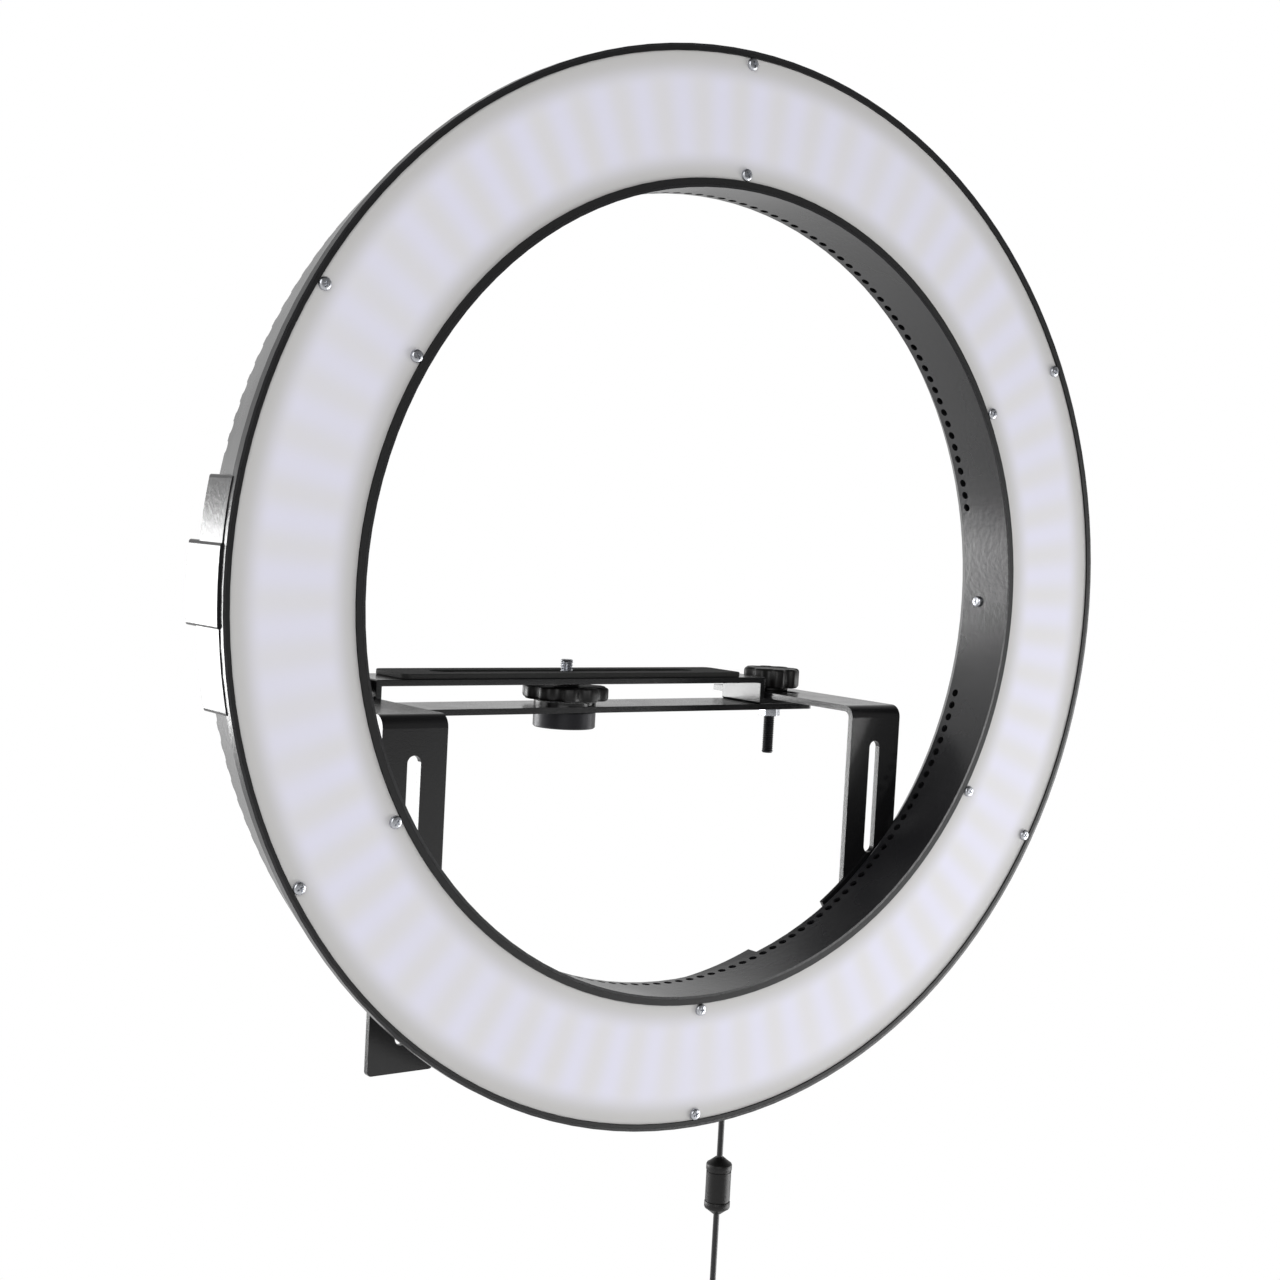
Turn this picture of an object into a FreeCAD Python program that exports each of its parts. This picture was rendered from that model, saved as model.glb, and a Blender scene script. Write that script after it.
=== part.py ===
# LED ring light with its camera bracket and power lead.
# Millimetres. The ring faces -Y, +Z is up. The origin is the mouth of the threaded
# stand socket under the bracket, on its axis, because a light stand holds the part there.
import FreeCAD, Part
import math
import os

V = FreeCAD.Vector
os.makedirs("parts", exist_ok=True)

# Ring housing
ring_outer_d = 480.0
ring_hole_d = 359.0
sheet = 1.2
outer_wall_depth = 4.0
inner_wall_depth = 30.0
housing_depth = 36.5
outer_slope = 9.2
inner_chamfer = 5.0
outer_vent_count = 176
outer_vent_d = 5.0
outer_vent_gap_deg = 12.4
inner_vent_count = 178
inner_vent_d = 3.8
inner_vent_depth = 25.8
inner_vent_gap_deg = 14.0
seat_gap = 0.05

# Diffuser, its bezels and screws
outer_rim = 2.9
inner_rim = 4.0
bezel_lip = 1.2
ledge = 6.6
diffuser_recess = 0.8
diffuser_thickness = 3.0
diffuser_gap = 0.15
diffuser_screw_inset = 2.8
diffuser_screw_count = 6
small_screw_d = 3.0
small_head_d = 5.4
small_head_h = 1.6
screw_clearance = 0.2
thread_reach = 4.0

# LED boards and their carrier
led_columns = 64
led_rows = 10
led_row_pitch = 4.5
led_size = 3.0
led_height = 1.0
board_thickness = 1.6
board_count = 8
board_margin = 2.6
board_joint = 1.2
carrier_depth = 16.0
carrier_margin = 1.2
post_count = 6
post_d = 8.0

# Blocks that square up the sides at nine and three o'clock
block_front_depth = 3.0
block_low_up = 42.5
block_low_down = 50.0
block_low_depth = 25.0
block_low_lift = 0.4
block_high_half = 16.8
block_high_depth = 33.5
block_high_lift = 1.0
block_edge_r = 1.8
block_screw_offset = 30.0
block_screw_depth = 21.5
block_screw_reach = 4.0
tie_width = 14.0
tie_thickness = 1.5
tie_screw_depth = 20.0
tie_foot = 12.0

# Bracket made of flat steel strip
strip_width = 32.0
strip_thickness = 3.0
bend_inner_r = 6.0
platform_bend_r = 1.0
leg_spacing = 264.0
leg_length = 154.5
leg_slot_width = 6.6
leg_slot_top = 17.5
leg_slot_length = 56.4
leg_slot_web = 10.6
leg_low_slot_length = 58.0
flange_length = 113.5
flange_slot_front = 22.0
flange_slot_back = 20.0
flange_side_gap = 1.2
platform_gap = 11.1
pad_length = 200.0
pad_width = 30.0
pad_thickness = 2.5
pad_slot_width = 10.5
camera_slot_width = 7.0
camera_slot_travel = 70.0
corner_r = 2.0

# Where the ring hangs on the bracket
ring_above_flange = 54.5
ring_front_to_socket = 122.0
leg_plate_thickness = 2.0
leg_plate_inner_r = 182.0
leg_plate_outer_r = 218.0
leg_plate_half_deg = 5.7
ring_screw_drop = 160.0
rivet_d = 4.0
rivet_head_h = 1.0

# Stand socket
socket_d = 31.0
socket_height = 8.5
socket_washer_thickness = 1.5
socket_screw_r = 10.5

# Clamp screws with lobed knobs
stud_d = 6.0
running_gap = 0.05
hole_gap = 0.3
nut_across_flats = 10.0
nut_height = 5.0
clamp_knob_d = 30.0
clamp_knob_h = 10.0
clamp_stud_tail = 25.0
ring_knob_d = 26.0
ring_knob_h = 9.0
knob_base_h = 1.6

# Camera screw
camera_thread_d = 6.35
camera_knob_d = 43.0
camera_knob_h = 6.6
camera_knob_lobes = 10
camera_knob_hub_d = 13.0
knob_hub_h = 1.2
camera_screw_above_pad = 5.5
camera_shank_d = 6.0
guide_flange_d = 14.0
guide_flange_h = 0.8
guide_length = 10.0
clip_thickness = 0.8
clip_d = 9.4
clip_bore_d = 5.15
guide_lug_start = 2.8
knob_cap = 1.5

# Control box on the back at six o'clock
box_inner_r = 187.0
box_outer_r = 216.0
box_half_deg = 21.0
box_depth = 13.5
box_tab_deg = 2.6
box_screw_r = (194.0, 209.0)
control_r = 201.0
knob_angle = -13.0
switch_angle = 3.0
dimmer_knob_d = 15.0
dimmer_knob_h = 12.0
dimmer_shaft_d = 6.0
pot_d = 16.0
pot_h = 6.5
switch_length = 21.0
switch_width = 15.0
switch_bezel = 1.5
rocker_length = 16.0
rocker_width = 10.0
rocker_lift = 2.4
rocker_tilt_deg = 8.0
rocker_pin_d = 2.4
rocker_pin_reach = 0.5
jack_d = 9.0
jack_flange_d = 12.0
jack_flange_h = 1.5
jack_bore_d = 5.6
jack_pin_d = 1.9
jack_depth = 9.0
driver_thickness = 1.6
driver_lift = 1.2
grommet_d = 9.0
grommet_turn_deg = 2.0
lead_d = 1.6

# Power lead
cord_d = 3.0
cord_x = 62.4
plug_body_d = 10.0
plug_body_length = 12.0
plug_cord_offset = 6.0
relief_length = 24.0
relief_d = 7.0
cord_drop = 132.0
bead_top_drop = 60.0
bead_length = 28.3
bead_d = 12.8
bead_taper = 3.0
coil_bend_r = 15.0
coil_inner_r = 12.2
coil_gap = 0.5
coil_layers = 4
coil_turns_per_layer = 3
coil_tail = 24.0
connector_d = 10.0
connector_length = 34.0
tie_band_width = 8.0
tie_band_thickness = 1.0
tie_gap = 0.4
tie_turn_deg = 45.0

# Values worked out from the driving dimensions
ring_r = ring_outer_d / 2
hole_r = ring_hole_d / 2
crossbar_z = socket_height
foot_z = crossbar_z + strip_thickness
flange_z = foot_z + strip_thickness
flange_top = flange_z + strip_thickness
ring_z = flange_top + ring_above_flange
front_y = -ring_front_to_socket
rear_y = front_y + housing_depth
leg_front_y = rear_y + leg_plate_thickness
leg_rear_y = leg_front_y + strip_thickness
leg_x = leg_spacing / 2
platform_z = foot_z + platform_gap
platform_top = platform_z + strip_thickness
pad_top = platform_top + pad_thickness
ring_screw_z = ring_z - ring_screw_drop
ledge_depth = diffuser_recess + diffuser_thickness
diffuser_outer_r = ring_r - outer_rim - diffuser_gap
diffuser_inner_r = hole_r + inner_rim + diffuser_gap
board_depth = carrier_depth - board_thickness
led_depth = board_depth - led_height
led_mid_r = (ring_r + hole_r) / 2
led_first_r = led_mid_r - led_row_pitch * (led_rows - 1) / 2
led_last_r = led_mid_r + led_row_pitch * (led_rows - 1) / 2
board_inner_r = led_first_r - board_margin
board_outer_r = led_last_r + board_margin
carrier_inner_r = board_inner_r - carrier_margin
carrier_outer_r = board_outer_r + carrier_margin
carrier_back = carrier_depth + sheet
cover_inside = housing_depth - sheet
wall_lean = math.atan2(outer_slope, housing_depth - outer_wall_depth)
box_back = housing_depth + box_depth


# Small helpers for shapes about the ring axis

def ring_point(radius, angle, depth):
    """A point at a radius and an angle (0 is +X, 90 is up), this far behind the ring's front."""
    turn = math.radians(angle)
    return V(radius * math.cos(turn), front_y + depth, ring_z + radius * math.sin(turn))


def polygon(points):
    """A flat face through the points."""
    return Part.Face(Part.makePolygon(list(points) + [points[0]]))


def turned(profile):
    """A solid turned about the ring axis from (radius, depth) points."""
    face = polygon([ring_point(radius, 0, depth) for radius, depth in profile])
    return face.revolve(V(0, 0, ring_z), V(0, 1, 0), 360)


def washer(inner, outer, depth0, depth1):
    """A flat ring about the ring axis."""
    return turned([(inner, depth0), (outer, depth0), (outer, depth1), (inner, depth1)])


def sector(profile, angle, half):
    """A turned piece that spans only angle - half to angle + half."""
    face = polygon([ring_point(radius, angle + half, depth) for radius, depth in profile])
    return face.revolve(V(0, 0, ring_z), V(0, 1, 0), 2 * half)


def flat_sector(inner, outer, depth0, depth1, angle, half):
    """A flat arc-shaped plate."""
    profile = [(inner, depth0), (outer, depth0), (outer, depth1), (inner, depth1)]
    return sector(profile, angle, half)


def rod(radius, start, end):
    """A cylinder between two points."""
    axis = end - start
    return Part.makeCylinder(radius, axis.Length, start, axis)


def cone(radius0, radius1, start, end):
    """A cone between two points."""
    axis = end - start
    return Part.makeCone(radius0, radius1, axis.Length, start, axis)


def box(x0, x1, y0, y1, z0, z1):
    """A box between two corners."""
    return Part.makeBox(x1 - x0, y1 - y0, z1 - z0, V(x0, y0, z0))


def prism(points, direction):
    """A polygon pushed along a vector."""
    return polygon(points).extrude(direction)


def fused(shapes):
    """One solid made of touching or overlapping shapes."""
    whole = shapes[0].multiFuse(shapes[1:])
    return whole.removeSplitter()


def about_ring(shape, angle):
    """A copy turned about the ring axis."""
    copy = shape.copy()
    copy.rotate(V(0, 0, ring_z), V(0, -1, 0), angle)
    return copy


def mirrored(shape):
    """The same piece on the other side of the plane X = 0."""
    return shape.mirror(V(0, 0, 0), V(1, 0, 0))


def slot_cut(centre, length, width, along, through, thickness):
    """A cutter for a slot with round ends; its length is overall."""
    side = through.cross(along)
    half = (length - width) / 2
    start = centre - through * thickness
    depth = through * (2 * thickness)
    corners = [along * -half + side * (width / 2), along * half + side * (width / 2),
               along * half - side * (width / 2), along * -half - side * (width / 2)]
    ends = [rod(width / 2, start + along * side_end, start + along * side_end + depth)
            for side_end in (-half, half)]
    middle = prism([start + corner for corner in corners], depth)
    return fused([middle] + ends)


def hexagon(across, start, end):
    """A hexagonal bar between two points."""
    axis = (end - start).normalize()
    side = axis.cross(V(0, 0, 1))
    if side.Length < 0.5:
        side = axis.cross(V(1, 0, 0))
    side.normalize()
    other = axis.cross(side)
    radius = across / math.sqrt(3)
    corners = []
    for step in range(6):
        turn = math.radians(60 * step)
        corners.append(start + side * (radius * math.cos(turn)) + other * (radius * math.sin(turn)))
    return prism(corners, end - start)


def pan_screw(head_point, inward, reach):
    """A small pan-head screw whose head sits on head_point and whose thread goes inward."""
    head = Part.makeCylinder(small_head_d / 2, small_head_h, head_point, inward * -1)
    rim = [edge for edge in head.Edges if edge.Closed and
           (edge.Curve.Center - head_point).Length > small_head_h / 2]
    head = head.makeFillet(small_head_h * 0.45, rim)
    recess_top = head_point - inward * small_head_h
    across = V(0, 0, 1) if abs(inward.z) < 0.9 else V(1, 0, 0)
    side = inward.cross(across).normalize()
    for arm in (side, inward.cross(side)):
        half = small_head_d * 0.28
        wide = inward.cross(arm) * 0.35
        points = [recess_top - arm * half - wide, recess_top + arm * half - wide,
                  recess_top + arm * half + wide, recess_top - arm * half + wide]
        head = head.cut(prism(points, inward * (small_head_h * 0.6)))
    shank = rod(small_screw_d / 2, head_point, head_point + inward * reach)
    return fused([head, shank])


def save(name, shape):
    """Write one node."""
    shape.exportStep("parts/" + name + ".step")


def group(shapes):
    """Several separate solids that share a node."""
    return Part.makeCompound(shapes)


# Rear cover: one pressed trough with a tapered outer wall, the hole's wall and the vents

def offset_line(points, distance):
    """The line of (radius, depth) points moved sideways, with its corners mitred."""
    moved = []
    for index, (radius, depth) in enumerate(points):
        normals = []
        for start, end in ((index - 1, index), (index, index + 1)):
            if start < 0 or end >= len(points):
                continue
            step_r = points[end][0] - points[start][0]
            step_d = points[end][1] - points[start][1]
            length = math.hypot(step_r, step_d)
            normals.append((-step_d / length, step_r / length))
        mean_r = sum(normal[0] for normal in normals) / len(normals)
        mean_d = sum(normal[1] for normal in normals) / len(normals)
        scale = distance / (mean_r ** 2 + mean_d ** 2)
        moved.append((radius + mean_r * scale, depth + mean_d * scale))
    return moved


def cover_skin():
    """Outer skin of the trough, from the outer rim round the back to the inner rim."""
    return [(ring_r, 0), (ring_r, outer_wall_depth), (ring_r - outer_slope, housing_depth),
            (hole_r + inner_chamfer, housing_depth), (hole_r, inner_wall_depth), (hole_r, 0)]


def cover_profile():
    return cover_skin() + offset_line(cover_skin(), sheet)[::-1]


def vent_angles(count, gap):
    """Angles of the vents, leaving both sides of the ring bare for the blocks."""
    angles = []
    for index in range(count):
        angle = (index + 0.5) * 360 / count
        from_side = min(angle % 180, 180 - angle % 180)
        if from_side > gap:
            angles.append(angle)
    return angles


def vent_cutter(radius, depth, lean, diameter):
    """A round punch whose axis leans this far from the radius towards the back."""
    reach = 3 * sheet + diameter
    step_r = reach * math.cos(lean)
    step_d = reach * math.sin(lean)
    inner = ring_point(radius - step_r, 0, depth - step_d)
    outer = ring_point(radius + step_r, 0, depth + step_d)
    return rod(diameter / 2, inner, outer)


def leg_side_angle():
    """The angle about the ring of the screw that fastens the right leg."""
    return math.degrees(math.atan2(-ring_screw_drop, leg_x))


ring_screw_r = math.hypot(leg_x, ring_screw_drop)
rivet_spots = [(ring_screw_r + 6.0, 4.0), (ring_screw_r - 6.0, 4.0),
               (ring_screw_r + 6.0, -4.0), (ring_screw_r - 6.0, -4.0)]


def leg_angles():
    right = leg_side_angle()
    return [right, -180 - right]


def rear_cover():
    cover = turned(cover_profile())
    outer = vent_cutter(ring_r - outer_slope, housing_depth, (math.pi / 2 + wall_lean) / 2,
                        outer_vent_d)
    inner = vent_cutter(hole_r, inner_vent_depth, 0, inner_vent_d)
    cutters = [about_ring(outer, angle)
               for angle in vent_angles(outer_vent_count, outer_vent_gap_deg)]
    cutters += [about_ring(inner, angle)
                for angle in vent_angles(inner_vent_count, inner_vent_gap_deg)]
    reach = 2 * sheet
    for angle in post_angles():
        cutters.append(rod(small_screw_d / 2 + screw_clearance,
                           ring_point(led_mid_r, angle, housing_depth - reach),
                           ring_point(led_mid_r, angle, housing_depth + reach)))
    for angle in leg_angles():
        cutters.append(rod(stud_d / 2 + hole_gap,
                           ring_point(ring_screw_r, angle, housing_depth - reach),
                           ring_point(ring_screw_r, angle, housing_depth + reach)))
        for radius, turn in rivet_spots:
            cutters.append(rod(rivet_d / 2 + running_gap,
                               ring_point(radius, angle + turn, housing_depth - reach),
                               ring_point(radius, angle + turn, housing_depth + reach)))
    for radius in box_screw_r:
        for turn in box_screw_angles():
            cutters.append(rod(small_screw_d / 2 + running_gap,
                               ring_point(radius, turn, housing_depth - reach),
                               ring_point(radius, turn, housing_depth + reach)))
    cutters.append(rod(grommet_d / 2 - 1.0 + running_gap,
                       ring_point(control_r, grommet_angle(), housing_depth - reach),
                       ring_point(control_r, grommet_angle(), housing_depth + reach)))
    for side in (0, 180):
        cutters.append(rod(small_screw_d / 2 + running_gap,
                           ring_point(hole_r - reach, side, tie_screw_depth),
                           ring_point(hole_r + reach, side, tie_screw_depth)))
    cutters += block_screw_holes() + [mirrored(hole) for hole in block_screw_holes()]
    return cover.cut(cutters)


def outer_bezel():
    seat = ring_r - sheet - seat_gap
    rim = ring_r - outer_rim
    back = ledge_depth + bezel_lip
    return turned([(rim, 0), (seat, 0), (seat, ledge_depth), (seat - bezel_lip / 2, back),
                   (rim - ledge, back), (rim - ledge, ledge_depth), (rim, ledge_depth)])


def inner_bezel():
    seat = hole_r + sheet + seat_gap
    rim = hole_r + inner_rim
    back = ledge_depth + bezel_lip
    return turned([(seat, 0), (rim, 0), (rim, ledge_depth), (rim + ledge, ledge_depth),
                   (rim + ledge, back), (seat, back)])


def diffuser_screw_places():
    places = []
    for index in range(diffuser_screw_count):
        angle = 30 + 360 * index / diffuser_screw_count
        places.append((ring_r - outer_rim - diffuser_screw_inset, angle))
        places.append((hole_r + inner_rim + diffuser_screw_inset, angle))
    return places


def screw_hole(radius, angle, depth0, depth1, gap):
    return rod(small_screw_d / 2 + gap, ring_point(radius, angle, depth0),
               ring_point(radius, angle, depth1))


def diffuser():
    sheet_ring = washer(diffuser_inner_r, diffuser_outer_r, diffuser_recess, ledge_depth)
    holes = [screw_hole(radius, angle, 0, ledge_depth + 1, screw_clearance)
             for radius, angle in diffuser_screw_places()]
    return sheet_ring.cut(holes)


def tapped(bezel, wanted):
    """Drill a bezel's ledge for the screws that belong to it."""
    holes = [screw_hole(radius, angle, 0, ledge_depth + 2 * bezel_lip, running_gap)
             for radius, angle in diffuser_screw_places() if wanted(radius)]
    return bezel.cut(holes)


def diffuser_screws():
    inward = V(0, 1, 0)
    return group([pan_screw(ring_point(radius, angle, diffuser_recess), inward,
                            diffuser_thickness + thread_reach)
                  for radius, angle in diffuser_screw_places()])


# LED boards on their carrier plate, held off the cover by posts

def post_angles():
    return [30 + 360 * index / post_count for index in range(post_count)]


def board_screw_places():
    """Two screws to a board, each midway between two columns of LEDs."""
    pitch = 360 / led_columns
    columns = led_columns // board_count
    places = []
    for index in range(board_count):
        for step in (1, columns - 1):
            places.append((led_mid_r, (index * columns + step) * pitch))
    return places


def led_carrier():
    plate = washer(carrier_inner_r, carrier_outer_r, carrier_depth, carrier_back)
    holes = [screw_hole(led_mid_r, angle, 0, housing_depth, screw_clearance)
             for angle in post_angles()]
    holes += [screw_hole(radius, angle, 0, housing_depth, running_gap)
              for radius, angle in board_screw_places()]
    holes.append(rod(lead_d * 2.5, ring_point(control_r, grommet_angle(), carrier_depth - 1),
                     ring_point(control_r, grommet_angle(), carrier_back + 1)))
    return plate.cut(holes)


def led_boards():
    half = 180 / board_count - math.degrees(board_joint / 2 / led_mid_r)
    boards = []
    for index in range(board_count):
        middle = 360 * (index + 0.5) / board_count
        board = flat_sector(board_inner_r, board_outer_r, board_depth, carrier_depth,
                            middle, half)
        holes = [screw_hole(radius, angle, 0, housing_depth, screw_clearance)
                 for radius, angle in board_screw_places()]
        holes += [rod(small_head_d / 2 + screw_clearance, ring_point(led_mid_r, angle, 0),
                      ring_point(led_mid_r, angle, housing_depth)) for angle in post_angles()]
        boards.append(board.cut(holes))
    return group(boards)


def led_spots():
    """Radius and angle of every LED; a spot that a screw head needs is left out."""
    pitch = 360 / led_columns
    screws = [(led_mid_r, angle) for angle in post_angles()] + board_screw_places()
    spots = []
    for column in range(led_columns):
        angle = (column + 0.5) * pitch
        for row in range(led_rows):
            radius = led_first_r + row * led_row_pitch
            here = ring_point(radius, angle, 0)
            apart = [(here - ring_point(other, turn, 0)).Length for other, turn in screws]
            if min(apart) > (small_head_d + led_size * 1.42) / 2 + 0.2:
                spots.append((radius, angle))
    return spots


def led_packages():
    half = led_size / 2
    chip = box(led_mid_r - half, led_mid_r + half, front_y + led_depth, front_y + board_depth,
               ring_z - half, ring_z + half)
    chips = []
    for radius, angle in led_spots():
        copy = chip.copy()
        copy.translate(V(radius - led_mid_r, 0, 0))
        chips.append(about_ring(copy, angle))
    return group(chips)


def board_screws():
    return group([pan_screw(ring_point(radius, angle, board_depth), V(0, 1, 0),
                            board_thickness + sheet + 1.5)
                  for radius, angle in board_screw_places()])


def carrier_posts():
    posts = []
    for angle in post_angles():
        post = rod(post_d / 2, ring_point(led_mid_r, angle, carrier_back),
                   ring_point(led_mid_r, angle, cover_inside))
        posts.append(post.cut(screw_hole(led_mid_r, angle, 0, housing_depth, running_gap)))
    return group(posts)


def carrier_screws():
    return group([pan_screw(ring_point(led_mid_r, angle, carrier_depth), V(0, 1, 0),
                            sheet + thread_reach + 1) for angle in post_angles()])


def rear_screws():
    return group([pan_screw(ring_point(led_mid_r, angle, housing_depth), V(0, -1, 0),
                            sheet + thread_reach + 1) for angle in post_angles()])


# Blocks at the sides, their screws, and the ties that stiffen the trough there

def wall_radius(depth):
    """Radius of the tapered outer wall at a depth."""
    return ring_r - max(depth - outer_wall_depth, 0) * math.tan(wall_lean)


def block_screw_places():
    """Seat and outward direction of the right block's screws, inside the tapered wall."""
    inset = (sheet + seat_gap) / math.cos(wall_lean)
    places = []
    for height in (-block_screw_offset, block_screw_offset):
        angle = math.degrees(math.asin(height / ring_r))
        wall = wall_radius(block_screw_depth)
        seat = ring_point(wall - inset, angle, block_screw_depth)
        out_point = ring_point(wall - inset + math.cos(wall_lean), angle,
                               block_screw_depth + math.sin(wall_lean))
        places.append((seat, (out_point - seat).normalize()))
    return places


def block_screw_holes():
    return [rod(small_screw_d / 2 + running_gap, seat - outward * sheet,
                seat + outward * (2 * sheet)) for seat, outward in block_screw_places()]


def block_step(up, down, end, lift):
    """One step of the right block, laid on the tapered wall, with its outer edges rounded."""
    top = math.degrees(math.asin(up / ring_r))
    bottom = math.degrees(math.asin(-down / ring_r))
    outer = ring_r + lift
    profile = [(ring_r, block_front_depth), (outer, block_front_depth), (outer, end),
               (wall_radius(end), end), (ring_r, outer_wall_depth)]
    step = sector(profile, (top + bottom) / 2, (top - bottom) / 2)
    rounded = []
    for edge in step.Edges:
        middle = edge.valueAt((edge.FirstParameter + edge.LastParameter) / 2)
        radius = math.hypot(middle.x, middle.z - ring_z)
        depth = middle.y - front_y
        if radius > outer - 0.01 and depth > block_front_depth + 0.01:
            rounded.append(edge)
    return step.makeFillet(block_edge_r, rounded)


def side_block():
    block = fused([block_step(block_low_up, block_low_down, block_low_depth, block_low_lift),
                   block_step(block_high_half, block_high_half, block_high_depth,
                              block_high_lift)])
    reach = sheet + block_screw_reach + screw_clearance
    return block.cut([rod(small_screw_d / 2 + running_gap, seat, seat + outward * reach)
                      for seat, outward in block_screw_places()])


def side_block_screws():
    screws = [pan_screw(seat, outward, sheet + block_screw_reach)
              for seat, outward in block_screw_places()]
    return group(screws + [mirrored(screw) for screw in screws])


def side_ties():
    """Bent straps inside the trough, from the hole's wall round to the back."""
    skin = offset_line(cover_skin(), sheet)
    outside = [(skin[3][0] + tie_foot, skin[3][1]), skin[3], skin[4],
               (skin[4][0], tie_screw_depth - tie_width / 4)]
    inside = offset_line(outside, tie_thickness)
    ties = []
    for side in (0, 180):
        half = math.degrees(tie_width / 2 / hole_r)
        strap = sector(outside + inside[::-1], side, half)
        ties.append(strap.cut(rod(small_screw_d / 2 + running_gap,
                                  ring_point(hole_r, side, tie_screw_depth),
                                  ring_point(hole_r + 8, side, tie_screw_depth))))
    return group(ties)


def hole_wall_screws():
    """One screw on each side, its head on the wall of the central hole."""
    screws = []
    for side in (0, 180):
        seat = ring_point(hole_r - seat_gap, side, tie_screw_depth)
        outward = (ring_point(hole_r + 1, side, tie_screw_depth) - seat).normalize()
        screws.append(pan_screw(seat, outward, sheet + tie_thickness + 2))
    return group(screws)


# Plates, rivets and nuts on the back where the bracket's legs are fastened

def leg_plates():
    plates = []
    for angle in leg_angles():
        plate = flat_sector(leg_plate_inner_r, leg_plate_outer_r, housing_depth,
                            housing_depth + leg_plate_thickness, angle, leg_plate_half_deg)
        holes = [rod(stud_d / 2 + hole_gap, ring_point(ring_screw_r, angle, housing_depth - 1),
                     ring_point(ring_screw_r, angle, housing_depth + 5))]
        for radius, turn in rivet_spots:
            holes.append(rod(rivet_d / 2 + running_gap,
                             ring_point(radius, angle + turn, housing_depth - 1),
                             ring_point(radius, angle + turn, housing_depth + 5)))
        plates.append(plate.cut(holes))
    return group(plates)


def plate_rivets():
    """Rivets flush with the plate behind, with a set head inside the trough."""
    rivets = []
    for angle in leg_angles():
        for radius, turn in rivet_spots:
            shank = rod(rivet_d / 2, ring_point(radius, angle + turn, cover_inside),
                        ring_point(radius, angle + turn, housing_depth + leg_plate_thickness))
            head = rod(rivet_d * 0.85, ring_point(radius, angle + turn, cover_inside - rivet_head_h),
                       ring_point(radius, angle + turn, cover_inside))
            rivets.append(fused([shank, head]))
    return group(rivets)


def ring_nuts():
    nuts = []
    for angle in leg_angles():
        back = ring_point(ring_screw_r, angle, cover_inside)
        front = ring_point(ring_screw_r, angle, cover_inside - nut_height)
        bore = rod(stud_d / 2 + running_gap, front - V(0, 1, 0), back + V(0, 1, 0))
        nuts.append(hexagon(nut_across_flats, front, back).cut(bore))
    return group(nuts)


# Control box on the back at six o'clock, with what it holds

def box_screw_angles():
    turn = box_half_deg + box_tab_deg / 2
    return [-90 - turn, -90 + turn]


def grommet_angle():
    return -90 - grommet_turn_deg


def box_angle(turn):
    """Angle about the ring of something on the control box, counted from straight down."""
    return -90 + turn


def socket_angle():
    """Where the power socket sits: straight above the hanging lead."""
    return math.degrees(math.asin(cord_x / control_r))


def control_box():
    outer = flat_sector(box_inner_r, box_outer_r, housing_depth, box_back, -90, box_half_deg)
    half = box_half_deg - math.degrees(sheet / control_r)
    inner = flat_sector(box_inner_r + sheet, box_outer_r - sheet, housing_depth - 1,
                        box_back - sheet, -90, half)
    tabs = flat_sector(box_inner_r, box_outer_r, housing_depth, housing_depth + sheet, -90,
                       box_half_deg + box_tab_deg)
    shell = fused([outer, tabs]).cut(inner)
    cuts = [rod(dimmer_shaft_d / 2 + hole_gap, ring_point(control_r, box_angle(knob_angle), 40),
                ring_point(control_r, box_angle(knob_angle), box_back + 5)),
            rod(jack_d / 2 + running_gap, ring_point(control_r, box_angle(socket_angle()), 40),
                ring_point(control_r, box_angle(socket_angle()), box_back + 5)),
            switch_block(switch_length / 2 - switch_bezel, switch_width / 2 - switch_bezel,
                         box_depth * 0.5, box_depth + 5)]
    for radius in box_screw_r:
        for turn in box_screw_angles():
            cuts.append(screw_hole(radius, turn, housing_depth - 1, housing_depth + 5,
                                   screw_clearance))
    return shell.cut(cuts)


def control_box_screws():
    return group([pan_screw(ring_point(radius, turn, housing_depth + sheet), V(0, -1, 0),
                            2 * sheet + 2)
                  for radius in box_screw_r for turn in box_screw_angles()])


def switch_block(half_length, half_width, rise0, rise1):
    """A block lined up with the power switch, between two heights over the cover's back."""
    block = box(control_r - half_width, control_r + half_width,
                front_y + housing_depth + rise0, front_y + housing_depth + rise1,
                ring_z - half_length, ring_z + half_length)
    return about_ring(block, box_angle(switch_angle))


def switch_body():
    bezel = switch_block(switch_length / 2, switch_width / 2, box_depth, box_depth + switch_bezel)
    body = switch_block(switch_length / 2 - switch_bezel - running_gap,
                        switch_width / 2 - switch_bezel - running_gap, box_depth - 8.5, box_depth)
    well = switch_block(rocker_length / 2 + hole_gap, rocker_width / 2 + hole_gap,
                        box_depth - 6.5, box_depth + 5)
    pin_hole = rocker_pin(rocker_pin_d / 2 + running_gap,
                          switch_width / 2 - switch_bezel - running_gap)
    return fused([bezel, body]).cut([well, pin_hole])


def rocker_axis_depth():
    return box_back - 1.0


def rocker_pin(radius, reach):
    """A round bar on the rocker's axis, this far to each side of the middle."""
    angle = box_angle(switch_angle)
    return rod(radius, ring_point(control_r - reach, angle, rocker_axis_depth()),
               ring_point(control_r + reach, angle, rocker_axis_depth()))


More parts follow.
